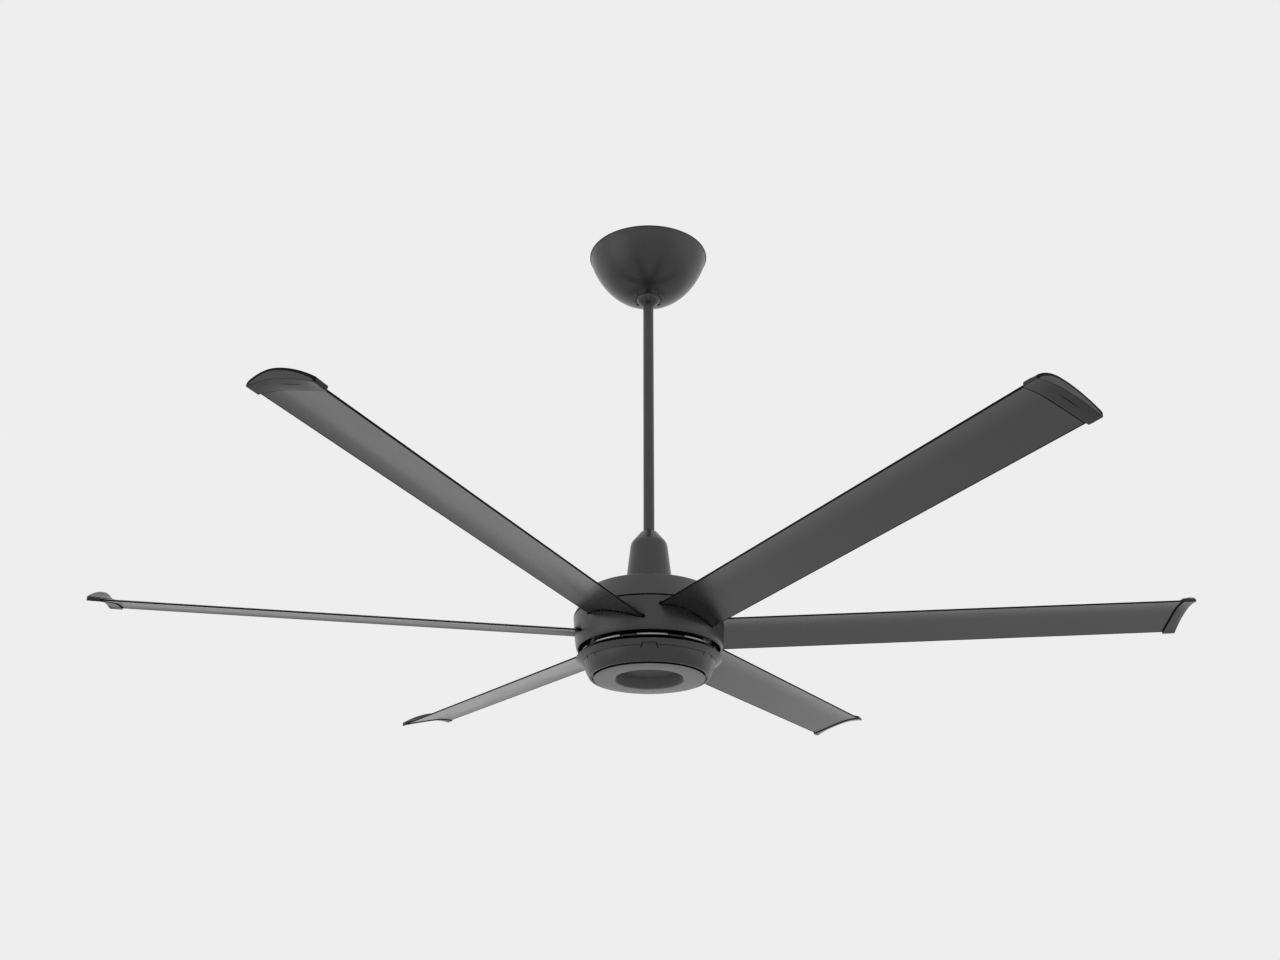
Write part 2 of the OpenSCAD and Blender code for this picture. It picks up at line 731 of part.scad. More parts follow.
// Fixed bowl below the pan, with a rounded bottom edge
cover_seam = 0.5;
module lower_cover() {
    top = pan_foot - cover_seam;
    t = 2.2;
    slit_w = 1.2;
    slit_h = 4.6;
    slit_lean = 24;
    ledge_z = plate_top + 0.2;
    profile = [
        [chamfer_r - 0.2, top], [chamfer_r - 1.2, top - 4], [chamfer_r - 2.8, cover_low + 16],
        [cover_low_r + 5, cover_low + 8.6], [cover_low_r + 1.2, cover_low + 2.2],
        [cover_low_r + 0.4, cover_low + 0.7], [cover_low_r - 1, cover_low],
        [plate_r + 0.9, cover_low], [plate_r + 0.9, ledge_z], [plate_r - 8, ledge_z],
        [plate_r - 8, ledge_z + ledge_t], [cover_low_r - t, ledge_z + ledge_t],
        [cover_low_r + 4.7 - t, cover_low + 9.4], [chamfer_r - 3 - t, cover_low + 16.2],
        [chamfer_r - 1.2 - t, top - 4], [chamfer_r - 0.3 - t, top]
    ];
    tab = [
        [chamfer_r - t, top - 1], [chamfer_r - 0.6, top - 1], [chamfer_r - 0.6, pan_foot],
        [chamfer_at(notch_h - tab_gap) - 0.5, pan_foot + notch_h - tab_gap],
        [chamfer_r - t + 0.4, pan_foot + notch_h - tab_gap]
    ];
    at_hub() color(black) {
        difference() {
            rotate_extrude() polygon(profile);
            // Leaning slits that let each tab spring
            for (side = [-1, 1])
                around(6, 90 + side * (tab_half_angle + tab_gap))
                    translate([chamfer_r - 6, 0, top]) rotate([side * slit_lean, 0, 0])
                        translate([0, -slit_w / 2, -slit_h]) cube([12, slit_w, slit_h + 4]);
        }
        // Tabs that key into the pan's rim
        around(6, 90)
            rotate([0, 0, -tab_half_angle])
                rotate_extrude(angle = 2 * tab_half_angle) polygon(tab);
    }
}

// Round plate with a shallow bulge, a well in its middle and a spigot behind
plate_low = plate_top - plate_t - plate_bulge;
module bottom_plate() {
    floor_z = plate_top - plate_t;
    spigot_r = plate_r - 8.3;
    well_top = plate_low + well_depth;
    t = 1.6;
    profile = [
        [0, well_top + t], [well_r + t, well_top + t], [well_r + t, plate_top],
        [spigot_r - 2, plate_top], [spigot_r - 2, plate_top + 6], [spigot_r, plate_top + 6],
        [spigot_r, plate_top], [plate_r, plate_top], [plate_r, floor_z + 0.8],
        [plate_r - 0.8, floor_z], [plate_r - 20, floor_z - 0.55 * plate_bulge],
        [well_r + 3, plate_low], [well_r + 0.8, plate_low + 0.2], [well_r, plate_low + 1],
        [well_r, well_top], [0, well_top]
    ];
    at_hub() color(plate_grey) rotate_extrude() polygon(profile);
}

// Disc that closes the well, where a light could go
module centre_disc() {
    at_hub(plate_low + well_depth - 1.2) color(black) cylinder(r = well_r - 0.4, h = 1.2 - eps);
}

// Motor controller on four standoffs under the pan
board_z = -14;
module controller_board() {
    at_hub(web_foot + board_z - 1.6) color([0.1, 0.3, 0.16])
    difference() {
        ring(board_r - 15, board_r + 15, 1.6);
        around(4, 45) translate([board_r, 0, -1]) cylinder(r = 2 + screw_fit, h = 4);
    }
}
module board_components() {
    at_hub(web_foot + board_z + eps) {
        color([0.12, 0.12, 0.14]) {
            for (a = [80, 100]) rotate([0, 0, a]) translate([board_r, 0, 0]) cylinder(r = 7, h = 12);
            rotate([0, 0, 180]) translate([board_r - 10, -12, 0]) cube([20, 24, 9]);
        }
        color(bare_alu) rotate([0, 0, 270]) translate([board_r - 13, -16, 0]) cube([26, 32, 4]);
        color([0.8, 0.75, 0.3]) translate([board_r - 12, -9, 0]) cube([24, 18, 11]);
    }
}
module board_standoffs() {
    at_hub(web_foot + board_z) color([0.8, 0.7, 0.35]) around(4, 45) translate([board_r, 0, 0]) {
        translate([0, 0, eps]) cylinder(r = 3.6, h = -board_z - 2 * eps);
        translate([0, 0, -1.6]) cylinder(r = 2, h = 1.6 + eps);
        translate([0, 0, -3.4]) cylinder(r = 3.4, h = 1.8);
        translate([0, 0, -board_z - eps]) cylinder(r = 2, h = web_t + 2 * eps);
    }
}

// Turning ring with an airfoil-shaped slot for each blade
module hub_ring() {
    w = hub_wall;
    low = -ring_low;
    outer = [
        [ring_r - 0.8, ring_top], [ring_r, ring_top - 0.8], [ring_r - 0.4, ring_top - 6],
        [ring_low_r + 4, low + 18.6], [ring_low_r + 2, low + 4.6], [ring_low_r + 1, low + 2],
        [ring_low_r, low + 0.6], [ring_low_r - 0.8, low]
    ];
    inner = [
        [ring_low_r - 1.8, low], [ring_low_r + 2 - w, low + 4.6], [ring_low_r + 4 - w, low + 18.6],
        [ring_r - w - 0.4, ring_top - w], [boss_r + 2.4, ring_top - w], [boss_r + 2.4, ring_top]
    ];
    at_hub() color(black)
    difference() {
        rotate_extrude() polygon(concat(outer, inner));
        for (k = [1 : blade_count])
            blade_frame(k) span(ring_low_r - 20, ring_r + 20) polygon(blade_outline(slot_gap));
        around(6, blade_phase + 30) translate([70, 0, ring_top - w - 1])
            cylinder(r = 2.5 + screw_fit, h = w + 2);
    }
}

module ring_screws() {
    at_hub(ring_top) color(steel) around(6, blade_phase + 30)
        translate([70, 0, 0]) mirror([0, 0, 1]) screw_up(2.5, hub_wall + seat_gap + housing_t, 4.5, 1.4);
}

// Cast cup that holds the magnets and the upper bearing
module upper_housing() {
    boss_top = upper_bearing_z + bearing_w;
    at_hub() color(bare_alu)
    difference() {
        union() {
            translate([0, 0, rotor_foot]) ring(rotor_in, rotor_r, housing_top - rotor_foot);
            translate([0, 0, housing_top - housing_t]) cylinder(r = rotor_r, h = housing_t);
            translate([0, 0, housing_top - housing_t])
                cylinder(r = boss_r, h = boss_top - housing_top + housing_t);
        }
        translate([0, 0, upper_bearing_z]) cylinder(r = bearing_r + slide_fit, h = 40);
        translate([0, 0, 0]) cylinder(r = bearing_r - 3, h = 60);
        around(6, blade_phase + 30) translate([70, 0, 0]) cylinder(r = 2.5 + screw_fit, h = 40);
        around(6, blade_phase) translate([rotor_r - rotor_wall / 2, 0, rotor_foot - 1])
            cylinder(r = 1.5 + screw_fit, h = 13);
    }
}

// Cast end plate with nine machined lands that show in the gap above the pan
module lower_housing() {
    disc_low = rotor_foot - lower_housing_t;
    land_low = disc_low + 1.7;
    at_hub() color(bare_alu)
    difference() {
        union() {
            translate([0, 0, disc_low]) cylinder(r = rotor_r + 4, h = lower_housing_t);
            translate([0, 0, land_low]) cylinder(r = land_r, h = land_t);
            translate([0, 0, disc_low])
                cylinder(r = boss_r, h = lower_bearing_z + bearing_w - disc_low);
        }
        // Shallow cuts that leave the nine lands
        around(land_count, blade_phase - 90 + land_angle / 2)
            rotate_extrude(angle = 360 / land_count - land_angle)
                translate([land_r - 2.4, land_low - 1]) square([4, land_t + 2]);
        translate([0, 0, lower_bearing_z]) cylinder(r = bearing_r + slide_fit, h = 40);
        translate([0, 0, disc_low - 1]) cylinder(r = bearing_r - 3, h = 40);
        around(6, blade_phase) translate([rotor_r - rotor_wall / 2, 0, disc_low - 1])
            cylinder(r = 1.5 + screw_fit, h = lower_housing_t + 2);
    }
}

module housing_screws() {
    at_hub(rotor_foot - lower_housing_t) color(steel) around(6, blade_phase)
        translate([rotor_r - rotor_wall / 2, 0, 0]) screw_up(1.5, lower_housing_t + 11, 2.9, 1.6);
}

module rotor_magnets() {
    count = 14;
    magnet_h = stator_h + 4;
    at_hub(stator_mid - magnet_h / 2) color([0.35, 0.35, 0.37]) around(count, blade_phase)
        rotate([0, 0, -11.6]) rotate_extrude(angle = 23.2)
            translate([magnet_in, 0]) square([magnet_t, magnet_h]);
}

// Ring shrunk on the rotor, with a curved spar for each blade
module blade_spider() {
    at_hub() color(steel)
    difference() {
        union() {
            translate([0, 0, -13]) ring(rotor_r + slide_fit, spar_ring_r, 27);
            for (k = [1 : blade_count]) difference() {
                blade_frame(k) span(rotor_r - 8, spar_ring_r + spar_l)
                    polygon(strip_outline(spar_y[0], spar_y[1], spar_t / 2));
                translate([0, 0, -40]) cylinder(r = rotor_r + 1, h = 80);
            }
        }
        blade_screw_holes();
    }
}

// Two screws from below through each blade and its spar
screw_x = root_x + 11;
screw_y = [-18, 4];
module blade_screw_places() {
    for (k = [1 : blade_count])
        blade_frame(k)
            for (y = screw_y) translate([screw_x, y, 0]) children();
}
module blade_screw_holes() {
    blade_screw_places() translate([0, 0, -8]) cylinder(r = 2 + screw_fit, h = 22);
}
module blade_screws() {
    color(steel) at_hub()
        blade_screw_places() translate([0, 0, 0.4]) screw_up(2, 7.6, 3.8, 2.2);
}

// Hollow extruded blade, cut square at both ends
module airfoil(k) {
    at_hub() color(black)
    difference() {
        blade_frame(k) span(root_x, blade_end) difference() {
            polygon(blade_outline());
            polygon(strip_outline(spar_y[0] - 0.4, spar_y[1] + 0.4, spar_t / 2 + 0.1));
            polygon(strip_outline(front_cell[0], front_cell[1], half_t(front_cell[0]) - blade_wall));
            polygon(strip_outline(rear_cell[0], rear_cell[1], half_t(rear_cell[1]) - blade_wall));
        }
        blade_screw_holes();
    }
}

// Tip cap: heights of its skins above the blade's centre line, at y along the chord
cap_lead = lead_reach + 1.2;
cap_trail = trail_reach + 2.8;
function fin_top(y) = arch(y, -14, fin_h, cap_lead, fin_h - 1.4, 2.3, cap_trail, fin_h - 3, 1.8);
function fin_under(y) = arch(y, -12, 1.6, cap_lead, 6.2, 2, cap_trail, 6, 2.1);
// At the mouth the upper skin is flatter than the blade, so its side walls stand taller
mouth_peak = arch_peak + blade_t / 2 + cap_proud;
function skin_top(y) = arch(y, -16, mouth_peak, cap_lead, mouth_peak - 2.8, 2.2,
    cap_trail, mouth_peak - 2.6, 1.8);
function skin_under(y) = camber(y) - half_t(y) - cap_proud;
// How far the upper and the lower skin have turned into the fin, along the cap
cap_rings = [
    [0, 0, 0, 0.6], [0.05, 0, 0, 0], [0.3, 0.03, 0.12, 0], [0.42, 0.09, 0.22, 0],
    [0.52, 0.26, 0.32, 0], [0.62, 0.58, 0.44, 0], [0.72, 0.88, 0.6, 0], [0.82, 1, 0.76, 0],
    [0.93, 1, 0.95, 0], [0.985, 0.985, 1, 0.5], [1, 0.95, 0.98, 1.5]
];
cap_steps = 14;
function cap_y(i, inset) = let (s = stations(cap_steps)[i])
    -cap_lead + inset + s * (cap_lead + cap_trail - 2 * inset);
function cap_ring(c) = concat(
    [for (i = [0 : cap_steps]) let (y = cap_y(i, c[3]))
        [cap_x + c[0] * cap_l, y, skin_top(y) * (1 - c[1]) + fin_top(y) * c[1] - 0.5 * c[3]]],
    [for (i = [cap_steps : -1 : 0]) let (y = cap_y(i, c[3]))
        [cap_x + c[0] * cap_l, y, skin_under(y) * (1 - c[2]) + fin_under(y) * c[2] + 0.3 * c[3]]]);
module cap_body() {
    n = 2 * (cap_steps + 1);
    rings = len(cap_rings);
    last = (rings - 1) * n;
    sides = [for (j = [0 : rings - 2]) for (i = [0 : n - 1])
        each [[j * n + i, j * n + (i + 1) % n, (j + 1) * n + i],
              [j * n + (i + 1) % n, (j + 1) * n + (i + 1) % n, (j + 1) * n + i]]];
    ends = [for (i = [0 : cap_steps - 1]) let (a = i, b = i + 1, c = n - 2 - i, d = n - 1 - i)
        each [[a, d, b], [b, d, c], [last + a, last + b, last + d], [last + b, last + c, last + d]]];
    polyhedron([for (c = cap_rings) each cap_ring(c)], concat(sides, ends));
}
module tip_cap(k) {
    at_hub() color(black) blade_frame(k) {
        difference() {
            cap_body();
            span(cap_x - 1, blade_end + seat_gap) polygon(blade_outline(0.15));
        }
        // Plug that keys into the open end of the extrusion
        span(blade_end - 8, blade_end + 1)
            polygon(strip_outline(spar_y[0], spar_y[1], spar_t / 2));
    }
}

module airfoil_1() { airfoil(1); }
module airfoil_2() { airfoil(2); }
module airfoil_3() { airfoil(3); }
module airfoil_4() { airfoil(4); }
module airfoil_5() { airfoil(5); }
module airfoil_6() { airfoil(6); }
module tip_cap_1() { tip_cap(1); }
module tip_cap_2() { tip_cap(2); }
module tip_cap_3() { tip_cap(3); }
module tip_cap_4() { tip_cap(4); }
module tip_cap_5() { tip_cap(5); }
module tip_cap_6() { tip_cap(6); }

mounting_bracket();
ball_socket();
canopy();
canopy_clip();
terminal_block();
ground_screw();
ball_seat();
hanger_ball();
ball_cross_pin();
ball_grub_screw();
downrod();
coupling_pin();
pin_clip();
coupling_grub_screws();
motor_coupling();
bell_cover();
foot_screws();
top_cover();
motor_shaft();
shaft_spacers();
upper_bearing_inner();
lower_bearing_inner();
stator_core();
stator_carrier();
stator_windings();
shaft_nut();
motor_pan();
lower_cover();
bottom_plate();
centre_disc();
controller_board();
board_components();
board_standoffs();
hub_ring();
ring_screws();
upper_housing();
lower_housing();
housing_screws();
rotor_magnets();
upper_bearing_outer();
lower_bearing_outer();
bearing_balls();
blade_spider();
blade_screws();
airfoil_1();
airfoil_2();
airfoil_3();
airfoil_4();
airfoil_5();
airfoil_6();
tip_cap_1();
tip_cap_2();
tip_cap_3();
tip_cap_4();
tip_cap_5();
tip_cap_6();
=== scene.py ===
# %% [markdown]
# # An outdoor ceiling fan, seen from below
# The fan hangs from a ball in a domed canopy. A turning ring holds six slim blades, and under it
# sits a fixed housing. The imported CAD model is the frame: it says where every piece is.
# This lesson dresses that frame. Large pressed and spun covers, the blades and their tip caps are
# made again as smooth meshes, and every other part keeps its mesh and gets a fitting finish.

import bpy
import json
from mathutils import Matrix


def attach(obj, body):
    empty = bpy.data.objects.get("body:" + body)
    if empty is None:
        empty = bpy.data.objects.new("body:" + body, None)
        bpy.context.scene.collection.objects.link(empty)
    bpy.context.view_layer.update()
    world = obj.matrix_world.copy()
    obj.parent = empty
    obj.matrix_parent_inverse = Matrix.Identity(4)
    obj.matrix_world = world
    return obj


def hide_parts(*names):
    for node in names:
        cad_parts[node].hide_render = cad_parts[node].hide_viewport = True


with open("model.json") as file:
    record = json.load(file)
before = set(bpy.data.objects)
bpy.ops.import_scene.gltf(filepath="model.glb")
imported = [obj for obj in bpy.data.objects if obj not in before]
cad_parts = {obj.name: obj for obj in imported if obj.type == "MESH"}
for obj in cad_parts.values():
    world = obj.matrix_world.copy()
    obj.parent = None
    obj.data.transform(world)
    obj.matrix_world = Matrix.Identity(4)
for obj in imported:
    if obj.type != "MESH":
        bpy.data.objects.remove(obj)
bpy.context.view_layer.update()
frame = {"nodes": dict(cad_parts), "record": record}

# %% Other tools
import json
from math import cos, pi, radians, sin, sqrt, tan

import bmesh
import bpy
from mathutils import Matrix, Vector

# %% [markdown]
# ## The camera
# The photographer stood about two metres in front of the fan's axis, well below the blades, and
# tilted the camera up. A lens of a given width and a place and a tilt are all that a camera needs.
# The numbers come from fitting circles of known size, so the picture lines up with the fan.

# %% Camera
lens_mm = 38.53
camera_place = (0.0, -2.1916, -1.4395)
camera_up_tilt = 24.0935
camera_turn = 0.4034

camera_data = bpy.data.cameras.new("camera")
camera_data.lens = lens_mm
camera_data.sensor_width = 36.0
camera = bpy.data.objects.new("camera", camera_data)
camera.location = camera_place
camera.rotation_euler = (radians(90 + camera_up_tilt), 0.0, radians(camera_turn))
bpy.context.scene.collection.objects.link(camera)
bpy.context.scene.camera = camera
print("Camera", round(-camera_place[1], 2), "m in front of the axis, tilted up",
      round(camera_up_tilt, 1), "degrees")

# %% [markdown]
# ## Millimetres, and a place to count from
# Fan makers draw in millimetres and count heights from the hub, where the centre lines of the
# blades meet. Blender works in metres and this scene counts from the ceiling. One factor and one
# drop turn the first into the second, so the sizes below read like a drawing.

# %% Units and the hub
MM = 0.001
hub_drop = 745.0
print("Hub is", hub_drop * MM, "m below the ceiling")

# %% [markdown]
# ## From points to a mesh
# Every piece here begins as a list of points and a list of faces. Smooth shading bends the light
# over the small flat faces, and edges that turn sharply are marked so that they stay crisp.
# Marking by angle is the quick way, and it fits pressed metal, which is either curved or folded.

# %% A helper that makes an object
fold_angle = 32.0


def shade(mesh, sharp_angle):
    mesh.polygons.foreach_set("use_smooth", [True] * len(mesh.polygons))
    mesh.set_sharp_from_angle(angle=radians(sharp_angle))
    mesh.update()


def make_object(name, points, faces, sharp_angle=fold_angle):
    mesh = bpy.data.meshes.new(name)
    mesh.from_pydata([Vector(p) * MM for p in points], [], faces)
    bm = bmesh.new()
    bm.from_mesh(mesh)
    bmesh.ops.recalc_face_normals(bm, faces=bm.faces)
    bm.to_mesh(mesh)
    bm.free()
    shade(mesh, sharp_angle)
    piece = bpy.data.objects.new(name, mesh)
    bpy.context.scene.collection.objects.link(piece)
    return piece


print("Edges that turn more than", fold_angle, "degrees stay crisp")

# %% [markdown]
# ## Rounded corners on an outline
# No pressed or spun cover has a knife edge. A corner of a drawing becomes an arc that touches both
# of its lines: the arc starts a little before the corner and ends a little after it. Each point of
# an outline here may carry a radius, and the helper swaps that point for the arc's points.

# %% Round the corners of an outline
arc_step = 9.0
straight_turn = 1.0


def rounded(outline):
    result = []
    count = len(outline)
    for i, corner in enumerate(outline):
        radius = corner[2] if len(corner) > 2 else 0.0
        here = Vector(corner[:2])
        before = Vector(outline[i - 1][:2]) - here
        after = Vector(outline[(i + 1) % count][:2]) - here
        turn = pi - before.angle(after)
        if radius <= 0 or turn < radians(straight_turn):
            result.append((here.x, here.y))
            continue
        reach = radius * tan(turn / 2)
        start = here + before.normalized() * reach
        middle = (before.normalized() + after.normalized()).normalized()
        centre = here + middle * (radius / cos(turn / 2))
        spoke = start - centre
        side = 1 if before.cross(after) < 0 else -1
        steps = max(2, round(turn / radians(arc_step)))
        for k in range(steps + 1):
            a = side * turn * k / steps
            result.append((centre.x + spoke.x * cos(a) - spoke.y * sin(a),
                           centre.y + spoke.x * sin(a) + spoke.y * cos(a)))
    return result


print("A rounded square has", len(rounded([(0, 0, 2), (9, 0, 2), (9, 9, 2), (0, 9, 2)])), "points")

# %% [markdown]
# ## Turning an outline on a lathe
# The canopy, the bell and the covers are spun or turned on the real fan, so each is one outline
# swept round the axis. Blender has a Screw modifier for that. A loop over angles does the same
# and gives full control of how many faces there are and where they start.

# %% A lathe
ring_steps = 192


def lathe(name, outline, level=-hub_drop):
    outline = rounded(outline)
    points = []
    rows = []
    for r, z in outline:
        steps = 1 if r == 0 else ring_steps
        rows.append([len(points) + k % steps for k in range(ring_steps + 1)])
        for k in range(steps):
            a = 2 * pi * k / ring_steps
            points.append((r * cos(a), r * sin(a), z + level))
    faces = []
    for here, after in zip(rows, rows[1:] + rows[:1]):
        for k in range(ring_steps):
            corners = list(dict.fromkeys((here[k], here[k + 1], after[k + 1], after[k])))
            if len(corners) > 2:
                faces.append(corners)
    return make_object(name, points, faces)


print("A turned piece has", ring_steps, "faces round its axis")

# %% [markdown]
# ## Cutting and joining
# Notches, slots and holes are cut with a second mesh, as a punch cuts sheet. A boolean modifier
# does this without harming the outline, and its result is then made permanent, so that what is
# measured and exported is exactly what is seen.


# %% Apply modifiers, cut and join
def apply_modifiers(piece):
    bpy.context.view_layer.update()
    solved = piece.evaluated_get(bpy.context.evaluated_depsgraph_get())
    mesh = bpy.data.meshes.new_from_object(solved)
    old = piece.data
    piece.modifiers.clear()
    piece.data = mesh
    bpy.data.meshes.remove(old)


def combine(piece, tools, operation="DIFFERENCE", sharp_angle=fold_angle):
    for tool in tools:
        step = piece.modifiers.new("combine", "BOOLEAN")
        step.operation = operation
        step.solver = "EXACT"
        step.object = tool
    apply_modifiers(piece)
    for tool in tools:
        mesh = tool.data
        bpy.data.objects.remove(tool)
        bpy.data.meshes.remove(mesh)
    shade(piece.data, sharp_angle)


print("After a cut, edges past", fold_angle, "degrees are marked again")

# %% Soften cut edges
bevel_angle = 40.0


def soften_edges(piece, width):
    bevel = piece.modifiers.new("soft edges", "BEVEL")
    bevel.width = width * MM
    bevel.segments = 2
    bevel.limit_method = "ANGLE"
    bevel.angle_limit = radians(bevel_angle)
    apply_modifiers(piece)
    shade(piece.data, bevel_angle)


print("A bevel rounds edges that turn more than", bevel_angle, "degrees")

# %% A block and a bent bar to cut or join with
bar_steps = 10


def block(name, x0, x1, y0, y1, z0, z1, turn=0.0):
    spin = Matrix.Rotation(radians(turn), 3, "Z")
    points = [spin @ Vector((x, y, z)) for x in (x0, x1) for y in (y0, y1) for z in (z0, z1)]
    faces = [(0, 1, 3, 2), (4, 6, 7, 5), (0, 4, 5, 1), (2, 3, 7, 6), (0, 2, 6, 4), (1, 5, 7, 3)]
    return make_object(name, points, faces)


def bent_bar(name, section, middle, half):
    n = len(section)
    points = []
    for k in range(bar_steps + 1):
        a = radians(middle - half + 2 * half * k / bar_steps)
        points += [(r * cos(a), r * sin(a), z - hub_drop) for r, z in section]
    faces = [tuple(range(n)), tuple(n * bar_steps + c for c in reversed(range(n)))]
    for k in range(bar_steps):
        for c in range(n):
            d = (c + 1) % n
            faces.append((n * k + c, n * k + n + c, n * k + n + d, n * k + d))
    return make_object(name, points, faces)


print("A bent bar has", bar_steps, "straight lengths")

# %% [markdown]
# # Finishes
# A finish is a shader with a few nodes in front of it. All of them start the same way: a noise
# that lives in the object's own space, because the real texture is fixed to the metal and must
# not swim when the camera moves. The helper below makes a shader and hands back its parts.


# %% A new finish
def new_finish(name, colour, roughness, metallic=0.0, **sockets):
    material = bpy.data.materials.new(name)
    material.use_nodes = True
    nodes = material.node_tree.nodes
    shader = nodes["Principled BSDF"]
    shader.inputs["Base Color"].default_value = (*colour, 1.0)
    shader.inputs["Roughness"].default_value = roughness
    shader.inputs["Metallic"].default_value = metallic
    for key, value in sockets.items():
        shader.inputs[key.replace("_", " ")].default_value = value
    return material, nodes, material.node_tree.links, shader


# %% [markdown]
# ## Texture in the object's own space
# Noise is a texture with no picture behind it. It is counted in bumps per metre, and stretching
# the space in front of it turns round bumps into lines. Its values crowd round the middle, so
# spreading the range from 0.3 to 0.7 uses nearly all of what it gives.


# %% Space, noise and a range for it
def object_space(nodes, links, stretch=(1.0, 1.0, 1.0)):
    place = nodes.new("ShaderNodeTexCoord")
    scale = nodes.new("ShaderNodeMapping")
    scale.inputs["Scale"].default_value = stretch
    links.new(place.outputs["Object"], scale.inputs["Vector"])
    return scale.outputs["Vector"]


def noise(nodes, links, vector, per_metre, detail=3.0):
    texture = nodes.new("ShaderNodeTexNoise")
    texture.inputs["Scale"].default_value = per_metre
    texture.inputs["Detail"].default_value = detail
    links.new(vector, texture.inputs["Vector"])
    return texture.outputs["Fac"]


def spread(nodes, links, value, low, high, low_in=0.3, high_in=0.7):
    remap = nodes.new("ShaderNodeMapRange")
    remap.inputs["From Min"].default_value = low_in
    remap.inputs["From Max"].default_value = high_in
    remap.inputs["To Min"].default_value = low
    remap.inputs["To Max"].default_value = high
    links.new(value, remap.inputs["Value"])
    return remap.outputs["Result"]


# %% Colour, gloss and relief from a texture
def blend_colours(nodes, links, value, first, second):
    ramp = nodes.new("ShaderNodeValToRGB")
    ramp.color_ramp.elements[0].color = (*first, 1.0)
    ramp.color_ramp.elements[1].color = (*second, 1.0)
    links.new(value, ramp.inputs["Fac"])
    return ramp.outputs["Color"]


def vary_roughness(nodes, links, shader, value, roughness, swing):
    links.new(spread(nodes, links, value, roughness - swing, roughness + swing),
              shader.inputs["Roughness"])


def add_heights(nodes, links, small, large, share):
    both = nodes.new("ShaderNodeMath")
    both.operation = "MULTIPLY_ADD"
    both.inputs[1].default_value = share
    links.new(small, both.inputs[0])
    links.new(large, both.inputs[2])
    return both.outputs["Value"]


def bump(nodes, links, shader, height, strength, depth_mm):
    relief = nodes.new("ShaderNodeBump")
    relief.inputs["Strength"].default_value = strength
    relief.inputs["Distance"].default_value = depth_mm * MM
    links.new(height, relief.inputs["Height"])
    links.new(relief.outputs["Normal"], shader.inputs["Normal"])


# %% A place for the finishes
finishes = {}
blue_hint = 0.0005


def grey(tone):
    return (tone, tone, tone)


def cool_grey(tone):
    return (tone, tone, tone + blue_hint)


print("A cool black, as the shader reads it:", cool_grey(0.010))

# %% [markdown]
# ## Black powder coat
# Powder is sprayed dry and melts in an oven. It flows, but not quite flat: a fine grain stays, and
# a slow wave under it that printers call orange peel. Both come from noise, one about a millimetre
# across and one about a centimetre. The coat is satin, so its roughness wanders only a little.

# %% Powder coats
coat_ior = 1.62
plate_ior = 1.72
grains_per_metre = 1100.0
waves_per_metre = 95.0
grain_share = 0.35
peel_depth = 0.12
gloss_swing = 0.03


def powder_coat(name, dark, light, roughness, grain=0.10, ior=coat_ior, **sockets):
    material, nodes, links, shader = new_finish(name, dark, roughness, IOR=ior, **sockets)
    space = object_space(nodes, links)
    fine = noise(nodes, links, space, grains_per_metre, 2.0)
    wave = noise(nodes, links, space, waves_per_metre)
    links.new(blend_colours(nodes, links, wave, dark, light), shader.inputs["Base Color"])
    vary_roughness(nodes, links, shader, wave, roughness, gloss_swing)
    heights = add_heights(nodes, links, fine, wave, grain_share)
    bump(nodes, links, shader, heights, grain, peel_depth)
    return material


finishes["black_coat"] = powder_coat("black powder coat", cool_grey(0.010), cool_grey(0.014), 0.29)
finishes["graphite_coat"] = powder_coat("graphite coat", cool_grey(0.030), cool_grey(0.037), 0.26,
                                        0.08, plate_ior)
print("Powder coats:", sorted(finishes))

# %% [markdown]
# ## Darker coats that paint shade
# These coats are darker and duller than the body coat and paint shade: dark lines along the ends
# and edges of blades and caps, and darker sides. Gloss is one number for the whole finish, so it is
# set once.

# %% Coats with less gloss
dull_roughness = 0.45
dull_grain = 0.06


def dull_coat(name, tone, gloss):
    return powder_coat(name, grey(tone), grey(tone * 1.3), dull_roughness, dull_grain,
                       Specular_IOR_Level=gloss)


# painted shade: the side coat darkens cap sides, partly by low gloss; the edge coat draws
# near-black lines
finishes["dull_side"] = dull_coat("painted side shade", 0.011, 0.22)
finishes["bare_edge"] = dull_coat("painted edge shade", 0.004, 0.03)
print("Duller coats:", finishes["dull_side"].name, "and", finishes["bare_edge"].name)

# %% [markdown]
# ## Inside the well
# The well's wall and disc are coloured much paler than the plate, and that pale colour is painted
# light: it stands for the light that a lit well would reflect. The wall is very matt and has sheen,
# so it brightens where it is seen edge-on; the shader has a socket for sheen. The disc at the end
# of the well is plain matt, because a lamp or a plug would sit there.


# %% Paler coats that paint light in the well
def well_light_coat(name, tone, roughness, sheen, sheen_roughness):
    return powder_coat(name, grey(tone), grey(tone * 1.08), roughness, dull_grain,
                       Sheen_Weight=sheen, Sheen_Roughness=sheen_roughness)


# painted light: the wall's pale tone stands for light reflected inside the well
finishes["well_wall"] = well_light_coat("well wall", 0.115, 0.40, 1.0, 0.25)
# painted light: the disc's pale tone stands for that light too
finishes["well_disc"] = dull_coat("well disc", 0.078, 0.05)
print("In the well:", finishes["well_wall"].name, "and", finishes["well_disc"].name)

# %% [markdown]
# ## Coat on an extruded blade
# A blade is pushed through a die, and the die leaves faint lines along the whole length. They
# stay visible through the thin coat. Stretching the noise along the blade turns round grains into
# such lines, and a little of it in the relief and in the roughness is enough.

# %% Coat with die lines
extrusion_ior = 1.68
die_stretch = (0.02, 1.0, 1.0)
die_lines_per_metre = 420.0
cloud_stretch = (0.3, 1.0, 1.0)
clouds_per_metre = 22.0
die_grain_share = 0.5
die_swing = 0.025


